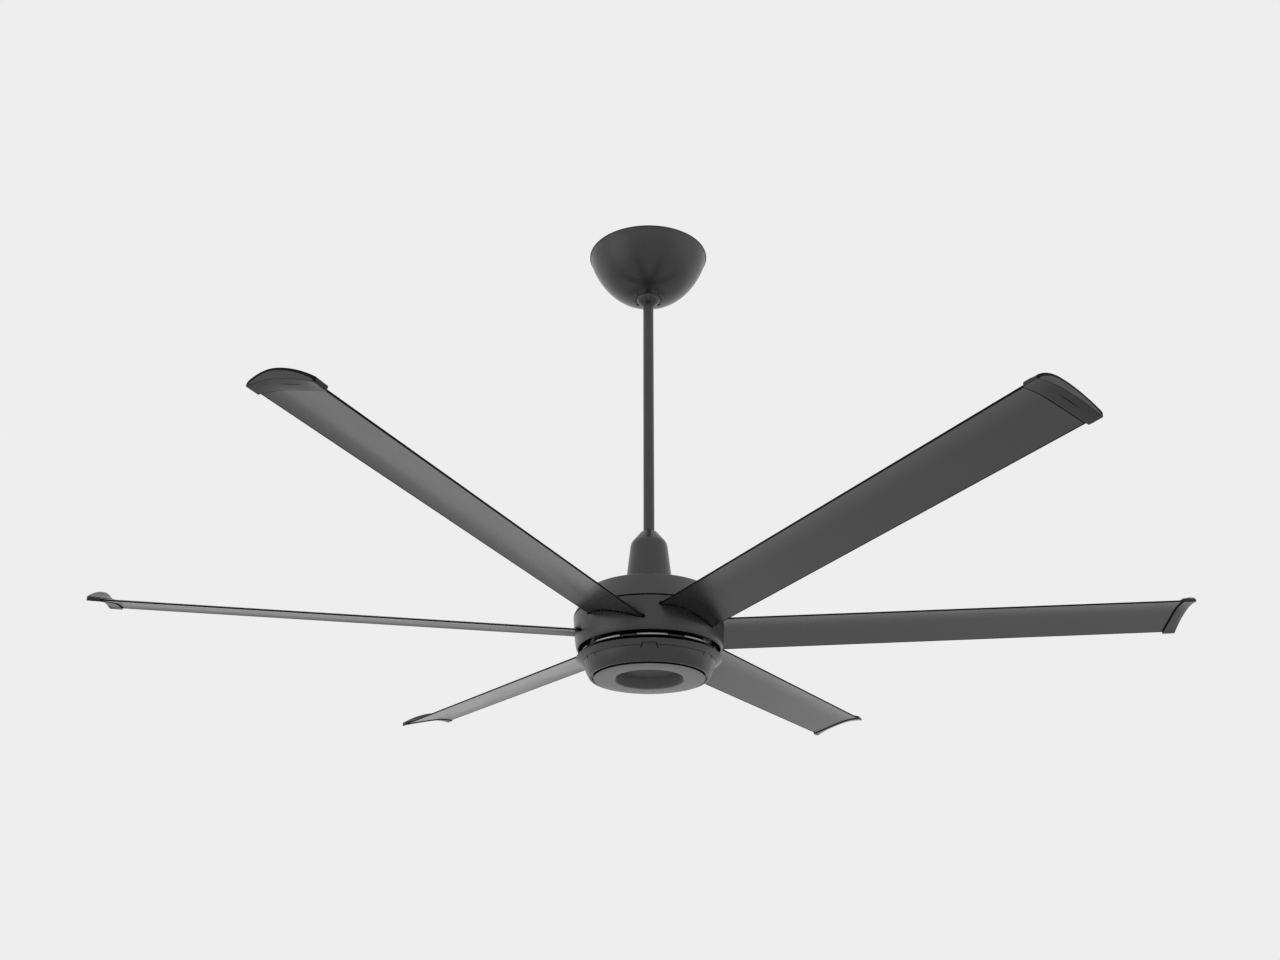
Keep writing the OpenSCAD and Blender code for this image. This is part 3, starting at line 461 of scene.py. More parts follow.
def extrusion_coat(name, dark, light, roughness):
    material, nodes, links, shader = new_finish(name, dark, roughness, IOR=extrusion_ior)
    lines = noise(nodes, links, object_space(nodes, links, die_stretch), die_lines_per_metre, 2.0)
    grain = noise(nodes, links, object_space(nodes, links), grains_per_metre, 2.0)
    slow = noise(nodes, links, object_space(nodes, links, cloud_stretch), clouds_per_metre, 2.0)
    links.new(blend_colours(nodes, links, slow, dark, light), shader.inputs["Base Color"])
    vary_roughness(nodes, links, shader, slow, roughness, die_swing)
    heights = add_heights(nodes, links, grain, lines, die_grain_share)
    bump(nodes, links, shader, heights, 0.06, 0.08)
    return material


finishes["black_coat_aluminium"] = extrusion_coat("coated extrusion", cool_grey(0.0115),
                                                  cool_grey(0.0155), 0.25)
print("Die lines are stretched", round(1 / die_stretch[0]), "times along the blade")

# %% [markdown]
# ## Moulded plastics
# The tip caps, the ball's seat and the terminal block are moulded. A mould is spark-eroded, which
# gives plastic an even, fine stipple without the slow wave of powder. A cell pattern looks most
# like it: each cell is one tiny crater.

# %% Moulded plastic
plastic_ior = 1.56
patches_per_metre = 60.0
patch_contrast = 1.25


def moulded(name, colour, roughness, cells_per_metre=1500.0, strength=0.12):
    material, nodes, links, shader = new_finish(name, colour, roughness, IOR=plastic_ior)
    space = object_space(nodes, links)
    craters = nodes.new("ShaderNodeTexVoronoi")
    craters.inputs["Scale"].default_value = cells_per_metre
    links.new(space, craters.inputs["Vector"])
    slow = noise(nodes, links, space, patches_per_metre, 2.0)
    pale = tuple(min(1.0, c * patch_contrast) for c in colour)
    links.new(blend_colours(nodes, links, slow, colour, pale), shader.inputs["Base Color"])
    vary_roughness(nodes, links, shader, slow, roughness, gloss_swing)
    bump(nodes, links, shader, craters.outputs["Distance"], strength, 0.05)
    return material


finishes["black_nylon"] = moulded("black nylon", cool_grey(0.0115), 0.32)
finishes["ivory_plastic"] = moulded("ivory plastic", (0.60, 0.57, 0.46), 0.40)
finishes["green_board"] = moulded("solder mask", (0.02, 0.16, 0.06), 0.28, 700.0, 0.05)
print("Finishes so far:", sorted(finishes))

# %% [markdown]
# ## Bare metals
# Zinc plating is cloudy, ground bearing steel shows rings, and a stack of sheets shows its edges.
# One recipe covers them: a metal whose colour and roughness follow a noise, stretched in the
# direction in which the tool or the sheets run.

# %% Metals
metal_swing = 0.07


def metal(name, dark, light, roughness, per_metre, stretch=(1.0, 1.0, 1.0), relief=0.05):
    material, nodes, links, shader = new_finish(name, dark, roughness, 1.0)
    marks = noise(nodes, links, object_space(nodes, links, stretch), per_metre)
    links.new(blend_colours(nodes, links, marks, dark, light), shader.inputs["Base Color"])
    vary_roughness(nodes, links, shader, marks, roughness, metal_swing)
    bump(nodes, links, shader, marks, relief, 0.05)
    return material


finishes["zinc_steel"] = metal("zinc plate", (0.46, 0.47, 0.49), (0.60, 0.61, 0.62), 0.38, 160.0)
finishes["bearing_steel"] = metal("ground steel", (0.58, 0.58, 0.59), (0.70, 0.70, 0.71), 0.20,
                                  260.0, (1.0, 1.0, 6.0), 0.02)
finishes["lamination_steel"] = metal("sheet stack", (0.16, 0.16, 0.18), (0.34, 0.34, 0.36), 0.45,
                                     90.0, (0.2, 0.2, 22.0), 0.25)
finishes["nickel_magnet"] = metal("nickel plate", (0.40, 0.39, 0.36), (0.50, 0.49, 0.46), 0.30,
                                  120.0)
finishes["copper_wire"] = metal("enamelled copper", (0.50, 0.17, 0.06), (0.70, 0.30, 0.12), 0.30,
                                900.0, (0.3, 0.3, 1.0), 0.3)
finishes["brass_hardware"] = metal("turned brass", (0.62, 0.44, 0.16), (0.74, 0.56, 0.24), 0.28,
                                   300.0, (1.0, 1.0, 4.0))
print("Finishes now:", len(finishes))

# %% [markdown]
# ## A green screw
# The earth screw is dyed green so that nobody mistakes it. The dye is thin and metal shows through
# it, so the finish is partly metal, with a cloudy colour.


# %% Painted screw
def painted_screw(name, colour, light):
    material, nodes, links, shader = new_finish(name, colour, 0.4, 0.6)
    cloud = noise(nodes, links, object_space(nodes, links), 400.0)
    links.new(blend_colours(nodes, links, cloud, colour, light), shader.inputs["Base Color"])
    links.new(spread(nodes, links, cloud, 0.33, 0.5), shader.inputs["Roughness"])
    return material


finishes["green_paint"] = painted_screw("green passivated", (0.03, 0.20, 0.06), (0.06, 0.30, 0.10))
print("Earth screw:", finishes["green_paint"].name)

# %% [markdown]
# ## A casting with machined lands
# The end plate of the motor is cast and left dark, and nine lands on its rim are turned bright to
# centre it. The lands stand out further from the axis than the casting between them. So the
# distance from the axis decides: past a set radius the metal is bright and fairly smooth, just
# inside it is dull, and further in it is painted nearly black, as shade deep in the gap under the
# ring.


# %% Distance from the axis
def distance_from_axis(nodes, links, space):
    split = nodes.new("ShaderNodeSeparateXYZ")
    links.new(space, split.inputs["Vector"])
    flat = nodes.new("ShaderNodeCombineXYZ")
    links.new(split.outputs["X"], flat.inputs["X"])
    links.new(split.outputs["Y"], flat.inputs["Y"])
    radius = nodes.new("ShaderNodeVectorMath")
    radius.operation = "LENGTH"
    links.new(flat.outputs["Vector"], radius.inputs[0])
    return radius.outputs["Value"]


# %% Cast and machined aluminium
band_from = 108.0
casting_from = 109.4
land_from = 111.95
band_to = 113.0
# painted shade: the casting inside casting_from is coloured nearly black
shaded_tone = (0.008, 0.008, 0.008, 1.0)
casting_tone = (0.09, 0.09, 0.092, 1.0)
land_tone = (0.32, 0.32, 0.33, 1.0)
cast_roughness = 0.62
land_roughness = 0.36
land_blend = 0.1
cast_grains_per_metre = 900.0


def band_share(r):
    return (r - band_from) / (band_to - band_from)


def cast_aluminium(name):
    material, nodes, links, shader = new_finish(name, (0.35, 0.35, 0.36), 0.5, 1.0)
    space = object_space(nodes, links)
    radius = distance_from_axis(nodes, links, space)
    share = spread(nodes, links, radius, 0.0, 1.0, band_from * MM, band_to * MM)
    bands = nodes.new("ShaderNodeValToRGB")
    links.new(share, bands.inputs["Fac"])
    ramp = bands.color_ramp
    ramp.interpolation = "CONSTANT"
    ramp.elements[0].color = shaded_tone
    ramp.elements[1].position = band_share(land_from)
    ramp.elements[1].color = land_tone
    ramp.elements.new(band_share(casting_from)).color = casting_tone
    links.new(bands.outputs["Color"], shader.inputs["Base Color"])
    turned = spread(nodes, links, radius, cast_roughness, land_roughness,
                    (land_from - land_blend) * MM, (land_from + land_blend) * MM)
    links.new(turned, shader.inputs["Roughness"])
    grain = noise(nodes, links, space, cast_grains_per_metre, 4.0)
    bump(nodes, links, shader, grain, 0.15, 0.1)
    return material


finishes["bare_aluminium"] = cast_aluminium("cast aluminium")
missing = [m["slot"] for m in frame["record"]["materials"] if m["slot"] not in finishes]
print("Slots with no finish:", missing)

# %% [markdown]
# # Dressing the frame
# ## Parts that keep their mesh
# Shafts, bearings, coils, screws and the bracket are already the right shape. Only their finish
# is missing. The record says which slot each part takes, so one loop can dress them all. The disc
# at the end of the well then gets the matt finish that was made for it.

# %% Give each CAD part its finish
slot_of = {part["node"]: part["material_slot"] for part in frame["record"]["subparts"]}
for node_name, node in frame["nodes"].items():
    node.data.materials.clear()
    node.data.materials.append(finishes[slot_of[node_name]])
disc = frame["nodes"]["centre_disc"]
# the disc's paler coat is painted light
disc.data.materials[0] = finishes["well_disc"]
print("Dressed", len(frame["nodes"]), "parts")

# %% [markdown]
# ## Pieces made again
# The ring and the blades turn, the motor hangs still, and the canopy stays at the ceiling. So each
# made piece rides on one of the frame's bodies, and it stands for the CAD part that it is a finer
# copy of. It also takes that part's slot, which names its finish.


# %% Put a made piece on its body
def fit(piece, body, slot, node):
    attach(piece, body)
    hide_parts(node)
    piece.data.materials.clear()
    piece.data.materials.append(finishes[slot])
    print(piece.name, "has", len(piece.data.polygons), "faces and rides on", body)


# %% [markdown]
# # The covers
# ## Canopy
# The canopy is a pressed dome that hides the bracket. Its curve is full at the rim and flattens
# towards the hole through which the ball shows. A formula with two powers gives that shape: one
# sets how steep the rim is and the other how flat the foot. Both skins come from it, the inner one
# set in by the sheet's thickness. A rolled lip lies at the ceiling.

# %% Curve of the canopy
canopy_r = 108.5
canopy_h = 92.4
canopy_wall = 1.2
canopy_hole_r = 24.9
rim_power = 2.43
foot_power = 1.3


def dome_depth(r, inset):
    return (canopy_h - inset) * (1 - (r / (canopy_r - inset)) ** rim_power) ** (1 / foot_power)


def dome_radius(depth, inset):
    return (canopy_r - inset) * (1 - (depth / (canopy_h - inset)) ** foot_power) ** (1 / rim_power)


print("The dome is", round(dome_depth(canopy_hole_r, 0.0), 1), "mm deep at its hole")


# %% Points that crowd at both ends of a range
def stations(n):
    return [(1 - cos(pi * i / n)) / 2 for i in range(n + 1)]


print("Five of them:", [round(share, 2) for share in stations(4)])

# %% Canopy
dome_steps = 56
lip_reach = 1.2
canopy_gap = 1.5
rim_z = -canopy_gap


def dome_skin(inset):
    depths = [dome_depth(canopy_hole_r, inset) * share for share in stations(dome_steps)]
    return [(dome_radius(depth, inset), rim_z - depth) for depth in depths]


def clear_of_edges(skin, below):
    return [(r, z) for r, z in skin if r > canopy_hole_r + 1.5 and z < rim_z - below]


outer_skin = dome_skin(0.0)
inner_skin = dome_skin(canopy_wall)
lip = [(canopy_r - canopy_wall, rim_z), (canopy_r + lip_reach, rim_z, 0.7),
       (canopy_r + lip_reach, rim_z - 1.8, 0.8), (canopy_r - 0.05, rim_z - 2.1)]
hole_edge = [(*outer_skin[-1], 0.5), (*inner_skin[-1], 0.4)]
canopy = lathe("canopy_shell", lip + clear_of_edges(outer_skin, 3.2) + hole_edge
               + clear_of_edges(reversed(inner_skin), 0.5), 0.0)
print("Canopy before its notches:", len(canopy.data.polygons), "faces")

# %% Four notches round the hole
notch_half = 2.4
notch_out = 29.65
notch_low = -100.0
notch_high = -84.0
combine(canopy, [block("notch", canopy_hole_r - 3, notch_out, -notch_half, notch_half,
                       notch_low, notch_high, 45 + 90 * k) for k in range(4)])
fit(canopy, "ceiling_mount", "black_coat", "canopy")

# %% [markdown]
# ## Bell cover
# The bell slides down the rod and hides the coupling. It is spun from sheet: a slight cone, a
# rounded shoulder, a steep cone and a small flare round the rod. Straight lines with rounded
# corners describe it fully, so it is one outline on the lathe, with its inside set in by the wall.

# %% Bell cover
coupling_top = 160.0
cover_top = 73.0
rod_d = 19.05
neck_r = rod_d / 2 + 0.5
shoulder_r = 31.3
bell_foot_r = 42.0
bell_wall = 1.6
bell_foot = cover_top + 0.05
bell_outside = [(bell_foot_r, bell_foot, 0.5), (shoulder_r, coupling_top + 4.9, 20.0),
                (neck_r + 4.4, coupling_top + 25.4, 5.0), (neck_r, coupling_top + 28.6, 0.4)]
bell_inside = [(neck_r, coupling_top + 26.8, 0.4), (neck_r + 3.4, coupling_top + 24.1, 4.0),
               (shoulder_r - bell_wall, coupling_top + 4.2, 18.0),
               (bell_foot_r - bell_wall, bell_foot, 0.3)]
bell = lathe("bell_shell", bell_outside + bell_inside)
fit(bell, "hanger", "black_coat", "bell_cover")

# %% [markdown]
# ## Top cover
# This cone stays still while the ring under it turns. Its top edge is rolled over, and the thin
# dark line under it is the running gap. The line only looks right if the gap is real, so the
# cover stops two millimetres above the ring.

# %% Top cover
ring_r = 126.8
ring_top = 29.5
cover_foot = ring_top + 2.0
cover_top_r = 106.4
shaft_hole_r = 12.55
cover_wall = 2.0
top_cover = lathe("top_cover_shell", [
    (ring_r, cover_foot, 0.5), (cover_top_r, cover_top, 3.0), (shaft_hole_r, cover_top),
    (shaft_hole_r, cover_top - cover_wall), (cover_top_r - 1.3, cover_top - cover_wall, 1.5),
    (ring_r - 2.2, cover_foot, 0.3)])
fit(top_cover, "hanger", "black_coat", "top_cover")

# %% [markdown]
# ## Motor pan
# The pan closes the motor from below. All that shows of it is its rim, a chamfer that runs down
# and inwards to the lower cover, with six notches for that cover's tabs. Inside it is a web with a
# raised seat for the shaft's nut.

# %% Motor pan
pan_r = 121.6
pan_top = -39.8
pan_foot = -47.6
chamfer_r = 110.0
pan_t = 3.0
pan_inner_r = chamfer_r - pan_t
web_top = pan_top - pan_t
seat_top = pan_top + 3.8
seat_r = 30.0
seat_inner_r = seat_r - pan_t
shaft_seat_r = 11.55
pan = lathe("pan_shell", [
    (pan_inner_r, pan_foot, 0.3), (chamfer_r, pan_foot, 0.3), (pan_r, pan_top - 0.6, 0.4),
    (pan_r - 0.6, pan_top, 0.4), (pan_r - 4.6, pan_top, 0.3), (chamfer_r - 1, web_top),
    (seat_r, web_top), (seat_r, seat_top, 0.8), (shaft_seat_r, seat_top),
    (shaft_seat_r, seat_top - pan_t), (seat_inner_r, seat_top - pan_t),
    (seat_inner_r, web_top - pan_t), (pan_inner_r, web_top - pan_t)])
print("Pan before its notches:", len(pan.data.polygons), "faces")

# %% Notches for the tabs
tab_count = 6
tab_half = 5.8
tab_gap = 0.4
notch_h = 1.5
tab_turns = [90 + 360 / tab_count * k for k in range(tab_count)]
notch_top = pan_foot + notch_h
notch_section = [(pan_inner_r - 1, pan_foot - 1), (pan_r, pan_foot - 1), (pan_r, notch_top),
                 (pan_inner_r - 1, notch_top)]
combine(pan, [bent_bar("notch", notch_section, turn, tab_half + tab_gap) for turn in tab_turns])
fit(pan, "hanger", "black_coat", "motor_pan")

# %% [markdown]
# ## Lower cover
# The bowl under the pan is steep and slightly full, with a small round at its foot. Six tabs stand
# up from its rim and snap into the pan, and a leaning slit on each side lets a tab spring. The bowl
# is turned, the tabs are bent bars joined to it, and the slits are cut last.

# %% Lower cover
cover_low = -71.8
foot_r = 99.0
plate_r = 94.4
plate_top = cover_low + 2.6
bowl_top = pan_foot - 0.22
bowl_t = 2.2
mouth_r = chamfer_r - 0.2
recess_r = plate_r + 0.9
ledge_r = plate_r - 8
ledge_low = plate_top + 0.2
ledge_top = ledge_low + 2.4
bowl = lathe("lower_cover_shell", [
    (mouth_r, bowl_top, 0.4), (mouth_r - 2.6, cover_low + 16, 30.0),
    (foot_r + 5, cover_low + 8.6, 30.0), (foot_r + 0.1, cover_low, 1.4),
    (recess_r, cover_low, 0.5), (recess_r, ledge_low), (ledge_r, ledge_low),
    (ledge_r, ledge_top), (foot_r - bowl_t, ledge_top),
    (foot_r + 4.7 - bowl_t, cover_low + 9.4, 20.0),
    (mouth_r - 2.8 - bowl_t, cover_low + 16.2, 20.0), (mouth_r - 0.1 - bowl_t, bowl_top, 0.3)])
print("Bowl before its tabs:", len(bowl.data.polygons), "faces")

# %% Tabs of the lower cover
tab_reach = chamfer_r + 2.25
tab_inner_r = chamfer_r - bowl_t
tab_section = [(tab_inner_r, bowl_top - 1), (chamfer_r - 0.45, bowl_top - 1),
               (chamfer_r - 0.35, pan_foot), (tab_reach, notch_top), (tab_inner_r + 0.4, notch_top)]
combine(bowl, [bent_bar("tab", tab_section, turn, tab_half) for turn in tab_turns], "UNION")
print("Bowl with its tabs:", len(bowl.data.polygons), "faces")

# %% Slits beside the tabs
slit_half = 0.85
slit_low = -5.2
slit_high = 4.0
slit_depth = 12.0
slit_lean = 24.0


def slit(turn, side):
    cut = block("slit", 0, slit_depth, -slit_half, slit_half, slit_low, slit_high)
    cut.matrix_world = (Matrix.Rotation(radians(turn + side * (tab_half + tab_gap)), 4, "Z")
                        @ Matrix.Translation(((chamfer_r - 6) * MM, 0, (bowl_top - hub_drop) * MM))
                        @ Matrix.Rotation(radians(side * slit_lean), 4, "X"))
    return cut


combine(bowl, [slit(turn, side) for turn in tab_turns for side in (-1, 1)])
fit(bowl, "hanger", "black_coat", "lower_cover")

# %% [markdown]
# ## Bottom plate
# The plate that faces the room is slightly domed, with a deep round well in its middle where a
# light could go. Its coat is a touch paler than the body. A groove runs round it: the plate is
# smaller than its seat in the bowl, and a real gap draws a better line than paint. The rim face in
# the groove is painted near black as well, as shade.

# %% Bottom plate
plate_t = 2.6
plate_bulge = 2.6
well_r = 57.0
well_depth = 20.0
plate_edge_z = plate_top - plate_t
plate_low = plate_edge_z - plate_bulge
well_top = plate_low + well_depth
spigot_r = plate_r - 8.3
spigot_t = 2.0
spigot_top = plate_top + 6
face_r = plate_r - 2.0
face_z = plate_edge_z - 1.9
well_wall_t = 1.6
well_outer_r = well_r + well_wall_t
well_end = well_top + well_wall_t
plate = lathe("bottom_plate_shell", [
    (0.0, well_end), (well_outer_r, well_end), (well_outer_r, plate_top),
    (spigot_r - spigot_t, plate_top), (spigot_r - spigot_t, spigot_top), (spigot_r, spigot_top),
    (spigot_r, plate_top), (face_r, plate_top), (face_r, face_z, 0.4),
    (plate_r - 20, plate_low + 0.3, 60.0),
    (well_r + 2.0, plate_low, 0.4), (well_r, plate_low + 0.8, 0.6),
    (well_r, well_top, 0.5), (0.0, well_top)])
fit(plate, "hanger", "graphite_coat", "bottom_plate")


# %% Rim and well of the plate
def coat_faces(piece, finish_name, chosen):
    piece.data.materials.append(finishes[finish_name])
    last = len(piece.data.materials) - 1
    count = 0
    for face in piece.data.polygons:
        r = face.center.to_2d().length / MM
        if chosen(r, face.center.z / MM + hub_drop):
            face.material_index = last
            count += 1
    print(finish_name, "covers", count, "faces of", piece.name)


# the well's wall gets its paler coat of painted light
coat_faces(plate, "well_wall", lambda r, z: r < well_r + 0.2 and z > plate_low + 0.9)
# painted shade: the rim face in the groove gets the near-black edge coat
coat_faces(plate, "bare_edge", lambda r, z: r > face_r - 0.15)

# %% [markdown]
# # The blades
# ## Section of a blade
# Each blade is a hollow extrusion, arched like a bird's wing: high near the middle, low at both
# edges. The middle surface is a curve with its own power on each side of its peak. Half the
# thickness is added above and below it, and a half circle closes each edge.


# %% A curve with two powers
def arch(y, peak_y, peak, lead, lead_drop, lead_power, trail, trail_drop, trail_power):
    if y < peak_y:
        return peak - lead_drop * ((peak_y - y) / (lead + peak_y)) ** lead_power
    return peak - trail_drop * ((y - peak_y) / (trail - peak_y)) ** trail_power


print("Half way from the peak of an arch 4 high:", arch(5, 0, 4, 10, 4, 2.0, 10, 4, 2.0))

# %% Middle surface and thickness of a blade
blade_chord = 105.0
blade_t = 4.8
edge_r = 1.2
lead_reach = blade_chord / 2 + 1.15
trail_reach = blade_chord - lead_reach
arch_y = -18.0
arch_peak = 3.95
edge_level = -1.55


def camber(y):
    drop = arch_peak - edge_level
    return arch(y, arch_y, arch_peak, lead_reach, drop, 2.0, trail_reach, drop, 1.5)


def half_thickness(y):
    share = min(1.0, max(0.0, (y + lead_reach) / blade_chord))
    return edge_r + (blade_t / 2 - edge_r) * sin(pi * share) ** 0.8


print("The middle surface peaks at", arch_peak, "mm and its edges lie at", edge_level, "mm")

# %% Outline of a blade
skin_steps = 36
edge_turn = 72
edge_step = 12
nose = edge_turn // edge_step


def blade_outline(grow=0.0):
    first = edge_r - lead_reach
    last = trail_reach - edge_r
    skin = [first + share * (last - first) for share in stations(skin_steps)]
    r = edge_r + grow
    turns = [radians(a) for a in range(-edge_turn, edge_turn + 1, edge_step)]
    lead_edge = [(first - r * cos(a), camber(first) + r * sin(a)) for a in turns]
    upper = [(y, camber(y) + half_thickness(y) + grow) for y in skin]
    trail_edge = [(last + r * cos(a), camber(last) + r * sin(a)) for a in reversed(turns)]
    lower = [(y, camber(y) - half_thickness(y) - grow) for y in reversed(skin)]
    return lead_edge + upper + trail_edge + lower


print("Blade section has", len(blade_outline()), "points, and its nose is point", nose)

# %% [markdown]
# ## Where a blade points
# A blade leaves the hub at its own angle, rises slightly and is pitched, with the leading edge up.
# Three turns, one after the other, say that. A blade's mesh is made lying flat along X, and the
# turns then place it, so its die lines can follow X whatever way the blade points.

# %% Blade places
blade_count = 6
blade_spacing = 360 / blade_count
blade_phase = 2.6
blade_rise = 3.0
blade_pitch = 11.67


def blade_place(k):
    hub = Matrix.Translation((0, 0, -hub_drop * MM))
    around = Matrix.Rotation(radians(blade_phase + blade_spacing * (k - 1)), 4, "Z")
    rise = Matrix.Rotation(radians(-blade_rise), 4, "Y")
    pitch = Matrix.Rotation(radians(-blade_pitch), 4, "X")
    return hub @ around @ rise @ pitch


print("Blade 1 points to", [round(v, 3) for v in blade_place(1).col[0][:3]])

# %% [markdown]
# ## A skin over rings
# A loft joins rings of points, one after the other, by bands of faces. Blades and caps are both
# lofts. The two ends are closed by a strip of small faces across the arch: one big face would cut
# straight under it.


# %% A loft
def strip_across(count, start, stop, base):
    strip = []
    while stop - start > 1:
        quad = (start, start + 1, stop - 1, stop)
        strip.append(tuple(dict.fromkeys(base + corner % count for corner in quad)))
        start += 1
        stop -= 1
    return strip


def loft(name, rings, start, sharp_angle=fold_angle):
    count = len(rings[0])
    points = [p for ring in rings for p in ring]
    stop = start + (count if start else count - 1)
    faces = strip_across(count, start, stop, 0)
    faces += strip_across(count, start, stop, len(points) - count)
    for here in range(0, len(points) - count, count):
        for i in range(count):
            n = (i + 1) % count
            faces.append((here + i, here + n, here + count + n, here + count + i))
    return make_object(name, points, faces, sharp_angle)


print("An end of six points is closed by", strip_across(6, 0, 5, 0))

# %% [markdown]
# ## Hub ring
# The turning ring is a shallow cone with an airfoil-shaped slot for each blade. A blade enters
# without touching it, so a thin dark line runs round each root. The punch is the blade's own
# outline, grown by the gap, which keeps slot and blade in step. Pressing leaves soft edges, so a
# small bevel follows the cut.

# %% Hub ring
ring_low_r = 120.0
ring_low = -25.6
ring_wall = 3.0
ring_under = ring_top - ring_wall
waist_r = ring_low_r + 4
waist_z = ring_low + 18.6
skirt_r = ring_low_r + 2
skirt_z = ring_low + 4.6
boss_hole_r = 35.4
hub_ring = lathe("hub_ring_shell", [
    (ring_r, ring_top, 1.0), (ring_r - 0.4, ring_top - 6, 20.0), (waist_r, waist_z, 60.0),
    (skirt_r, skirt_z, 16.0), (ring_low_r, ring_low + 0.8, 1.6),
    (ring_low_r - 1.0, ring_low, 0.3), (ring_low_r - 1.8, ring_low, 0.2),
    (skirt_r - ring_wall, skirt_z, 6.0), (waist_r - ring_wall, waist_z, 20.0),
    (ring_r - ring_wall - 0.4, ring_under, 1.0), (boss_hole_r, ring_under),
    (boss_hole_r, ring_top)])
print("Ring before its slots:", len(hub_ring.data.polygons), "faces")

# %% Slots for the blades
slot_gap = 1.7
slot_from = 98.0
slot_to = 150.0
pressed_edge = 0.5
blade_numbers = range(1, blade_count + 1)


def flat_rings(outline, places):
    return [[(x, y, z) for y, z in outline] for x in places]


def blade_punch(k, grow, x0, x1):
    punch = loft("punch", flat_rings(blade_outline(grow), (x0, x1)), nose)
    punch.matrix_world = blade_place(k)
    return punch


combine(hub_ring, [blade_punch(k, slot_gap, slot_from, slot_to) for k in blade_numbers])
soften_edges(hub_ring, pressed_edge)
fit(hub_ring, "rotor", "black_coat", "hub_ring")

# %% [markdown]
# ## Marking edges
# Dark lines along edges, and a darker coat beside them, paint the shade that gathers at edges and
# sides. One number per point, kept in the mesh under the name "edge", says how much of an edge each
# point is. The mark outlives a boolean, which a list of face numbers would not, and once the piece
# is finished it picks the darker coats that paint that shade on the marked faces.

# %% Mark the edges of a piece
side_from = 0.4
edge_from = 0.8


def mark_edges(piece, amounts):
    marks = piece.data.attributes.new("edge", "FLOAT", "POINT")
    marks.data.foreach_set("value", amounts)


def paint_edge_shade(piece):
    mesh = piece.data
    marks = [mark.value for mark in mesh.attributes["edge"].data]
    mesh.materials.append(finishes["dull_side"])
    mesh.materials.append(finishes["bare_edge"])
    for face in mesh.polygons:
        mark = sum(marks[v] for v in face.vertices) / len(face.vertices)
        # middling marks get painted side shade, high marks painted edge shade
        face.material_index = 2 if mark > edge_from else 1 if mark > side_from else 0
    mesh.attributes.remove(mesh.attributes["edge"])


print("A face is dull from mark", side_from, "and bare from", edge_from)

# %% [markdown]
# ## Six blades
# One loft makes a blade: the same outline at several stations from the root to the cap. A loop
# makes six and gives each its own mesh, so that each can be exported and baked by itself. Both
# edges are marked for painted edge shade, and so is the last bit before the cap, where a dark
# band paints the shadow at the cap's step.

# %% Stations along a blade
tip_r = 914.0
root_x = 99.0
cap_length = 22.0
cap_x = tip_r / cos(radians(blade_rise)) - cap_length
cap_end_wall = 9.0
blade_end = cap_x + cap_length - cap_end_wall
# painted shadow: the blade's last bit before the cap is coated near black, as the cap step's shadow
seam_shadow_length = 3.0
seam_shadow_start = cap_x - seam_shadow_length
mark_step = 0.2
blade_steps = 24
blade_stations = [root_x + (seam_shadow_start - mark_step - root_x) * i / blade_steps
                  for i in range(blade_steps + 1)]
blade_stations += [seam_shadow_start, cap_x, blade_end]
print("A blade is", round(blade_end - root_x), "mm long, and the cap starts at", round(cap_x), "mm")

# %% Blades
edge_width = 2.6
blade_fold = 50.0
section = blade_outline()
low_y = min(y for y, z in section) + edge_width
high_y = max(y for y, z in section) - edge_width
# painted shade: leading and trailing edges get dark lines
section_marks = [1.0 if y < low_y or y > high_y else 0.0 for y, z in section]
blade_marks = []
for x in blade_stations:
    blade_marks += [1.0] * len(section) if x >= seam_shadow_start else section_marks

for k in blade_numbers:
    blade = loft(f"blade_{k}", flat_rings(section, blade_stations), nose, blade_fold)
    mark_edges(blade, blade_marks)
    blade.matrix_world = blade_place(k)
    fit(blade, "rotor", "black_coat_aluminium", f"airfoil_{k}")
    paint_edge_shade(blade)

# %% [markdown]
# ## Tip caps
# A moulded cap closes each blade and turns up into a low fin, which calms the air that spills
# over the end. At its mouth it follows the blade, a little proud of it; at its end it is a tall
# crescent. In between both skins turn up, the upper one sooner. Each ring of the loft says how
# far each skin has turned, and a smooth curve through a few chosen stations gives the rest. The
# curve is made of cubic pieces, and its slopes are held back so that it never swings past a key.

# %% How a cap turns up
# Share of the length, turn of the upper skin, turn of the lower skin, inset of the outline in mm
cap_keys = [
    (0.0, 0.0, 0.0, 0.6), (0.02, 0.0, 0.0, 0.2), (0.05, 0.0, 0.0, 0.0), (0.3, 0.03, 0.12, 0.0),
    (0.42, 0.09, 0.22, 0.0), (0.52, 0.26, 0.32, 0.0), (0.62, 0.58, 0.44, 0.0),
    (0.72, 0.88, 0.60, 0.0), (0.82, 1.0, 0.76, 0.0), (0.93, 1.0, 0.95, 0.0),
    (0.985, 0.985, 1.0, 0.5), (1.0, 0.95, 0.98, 1.5)]
upper_turn, lower_turn, outline_inset = 1, 2, 3


def held(slope, limit):
    return max(-limit, min(limit, slope))


def smooth_key(share, column):
    i = 0
    while i < len(cap_keys) - 2 and share > cap_keys[i + 1][0]:
        i += 1
    places = [cap_keys[j][0] for j in (max(0, i - 1), i, i + 1, min(len(cap_keys) - 1, i + 2))]
    levels = [cap_keys[j][column] for j in (max(0, i - 1), i, i + 1, min(len(cap_keys) - 1, i + 2))]
    span = places[2] - places[1]
    limit = 3 * abs((levels[2] - levels[1]) / span)
    slope_a = held((levels[2] - levels[0]) / (places[2] - places[0]), limit)
    slope_b = held((levels[3] - levels[1]) / (places[3] - places[1]), limit)
    t = (share - places[1]) / span
    return ((2 * t ** 3 - 3 * t ** 2 + 1) * levels[1] + (t ** 3 - 2 * t ** 2 + t) * span * slope_a
            + (3 * t ** 2 - 2 * t ** 3) * levels[2] + (t ** 3 - t ** 2) * span * slope_b)


print("Half way along, the upper skin has turned by", round(smooth_key(0.5, upper_turn), 2))

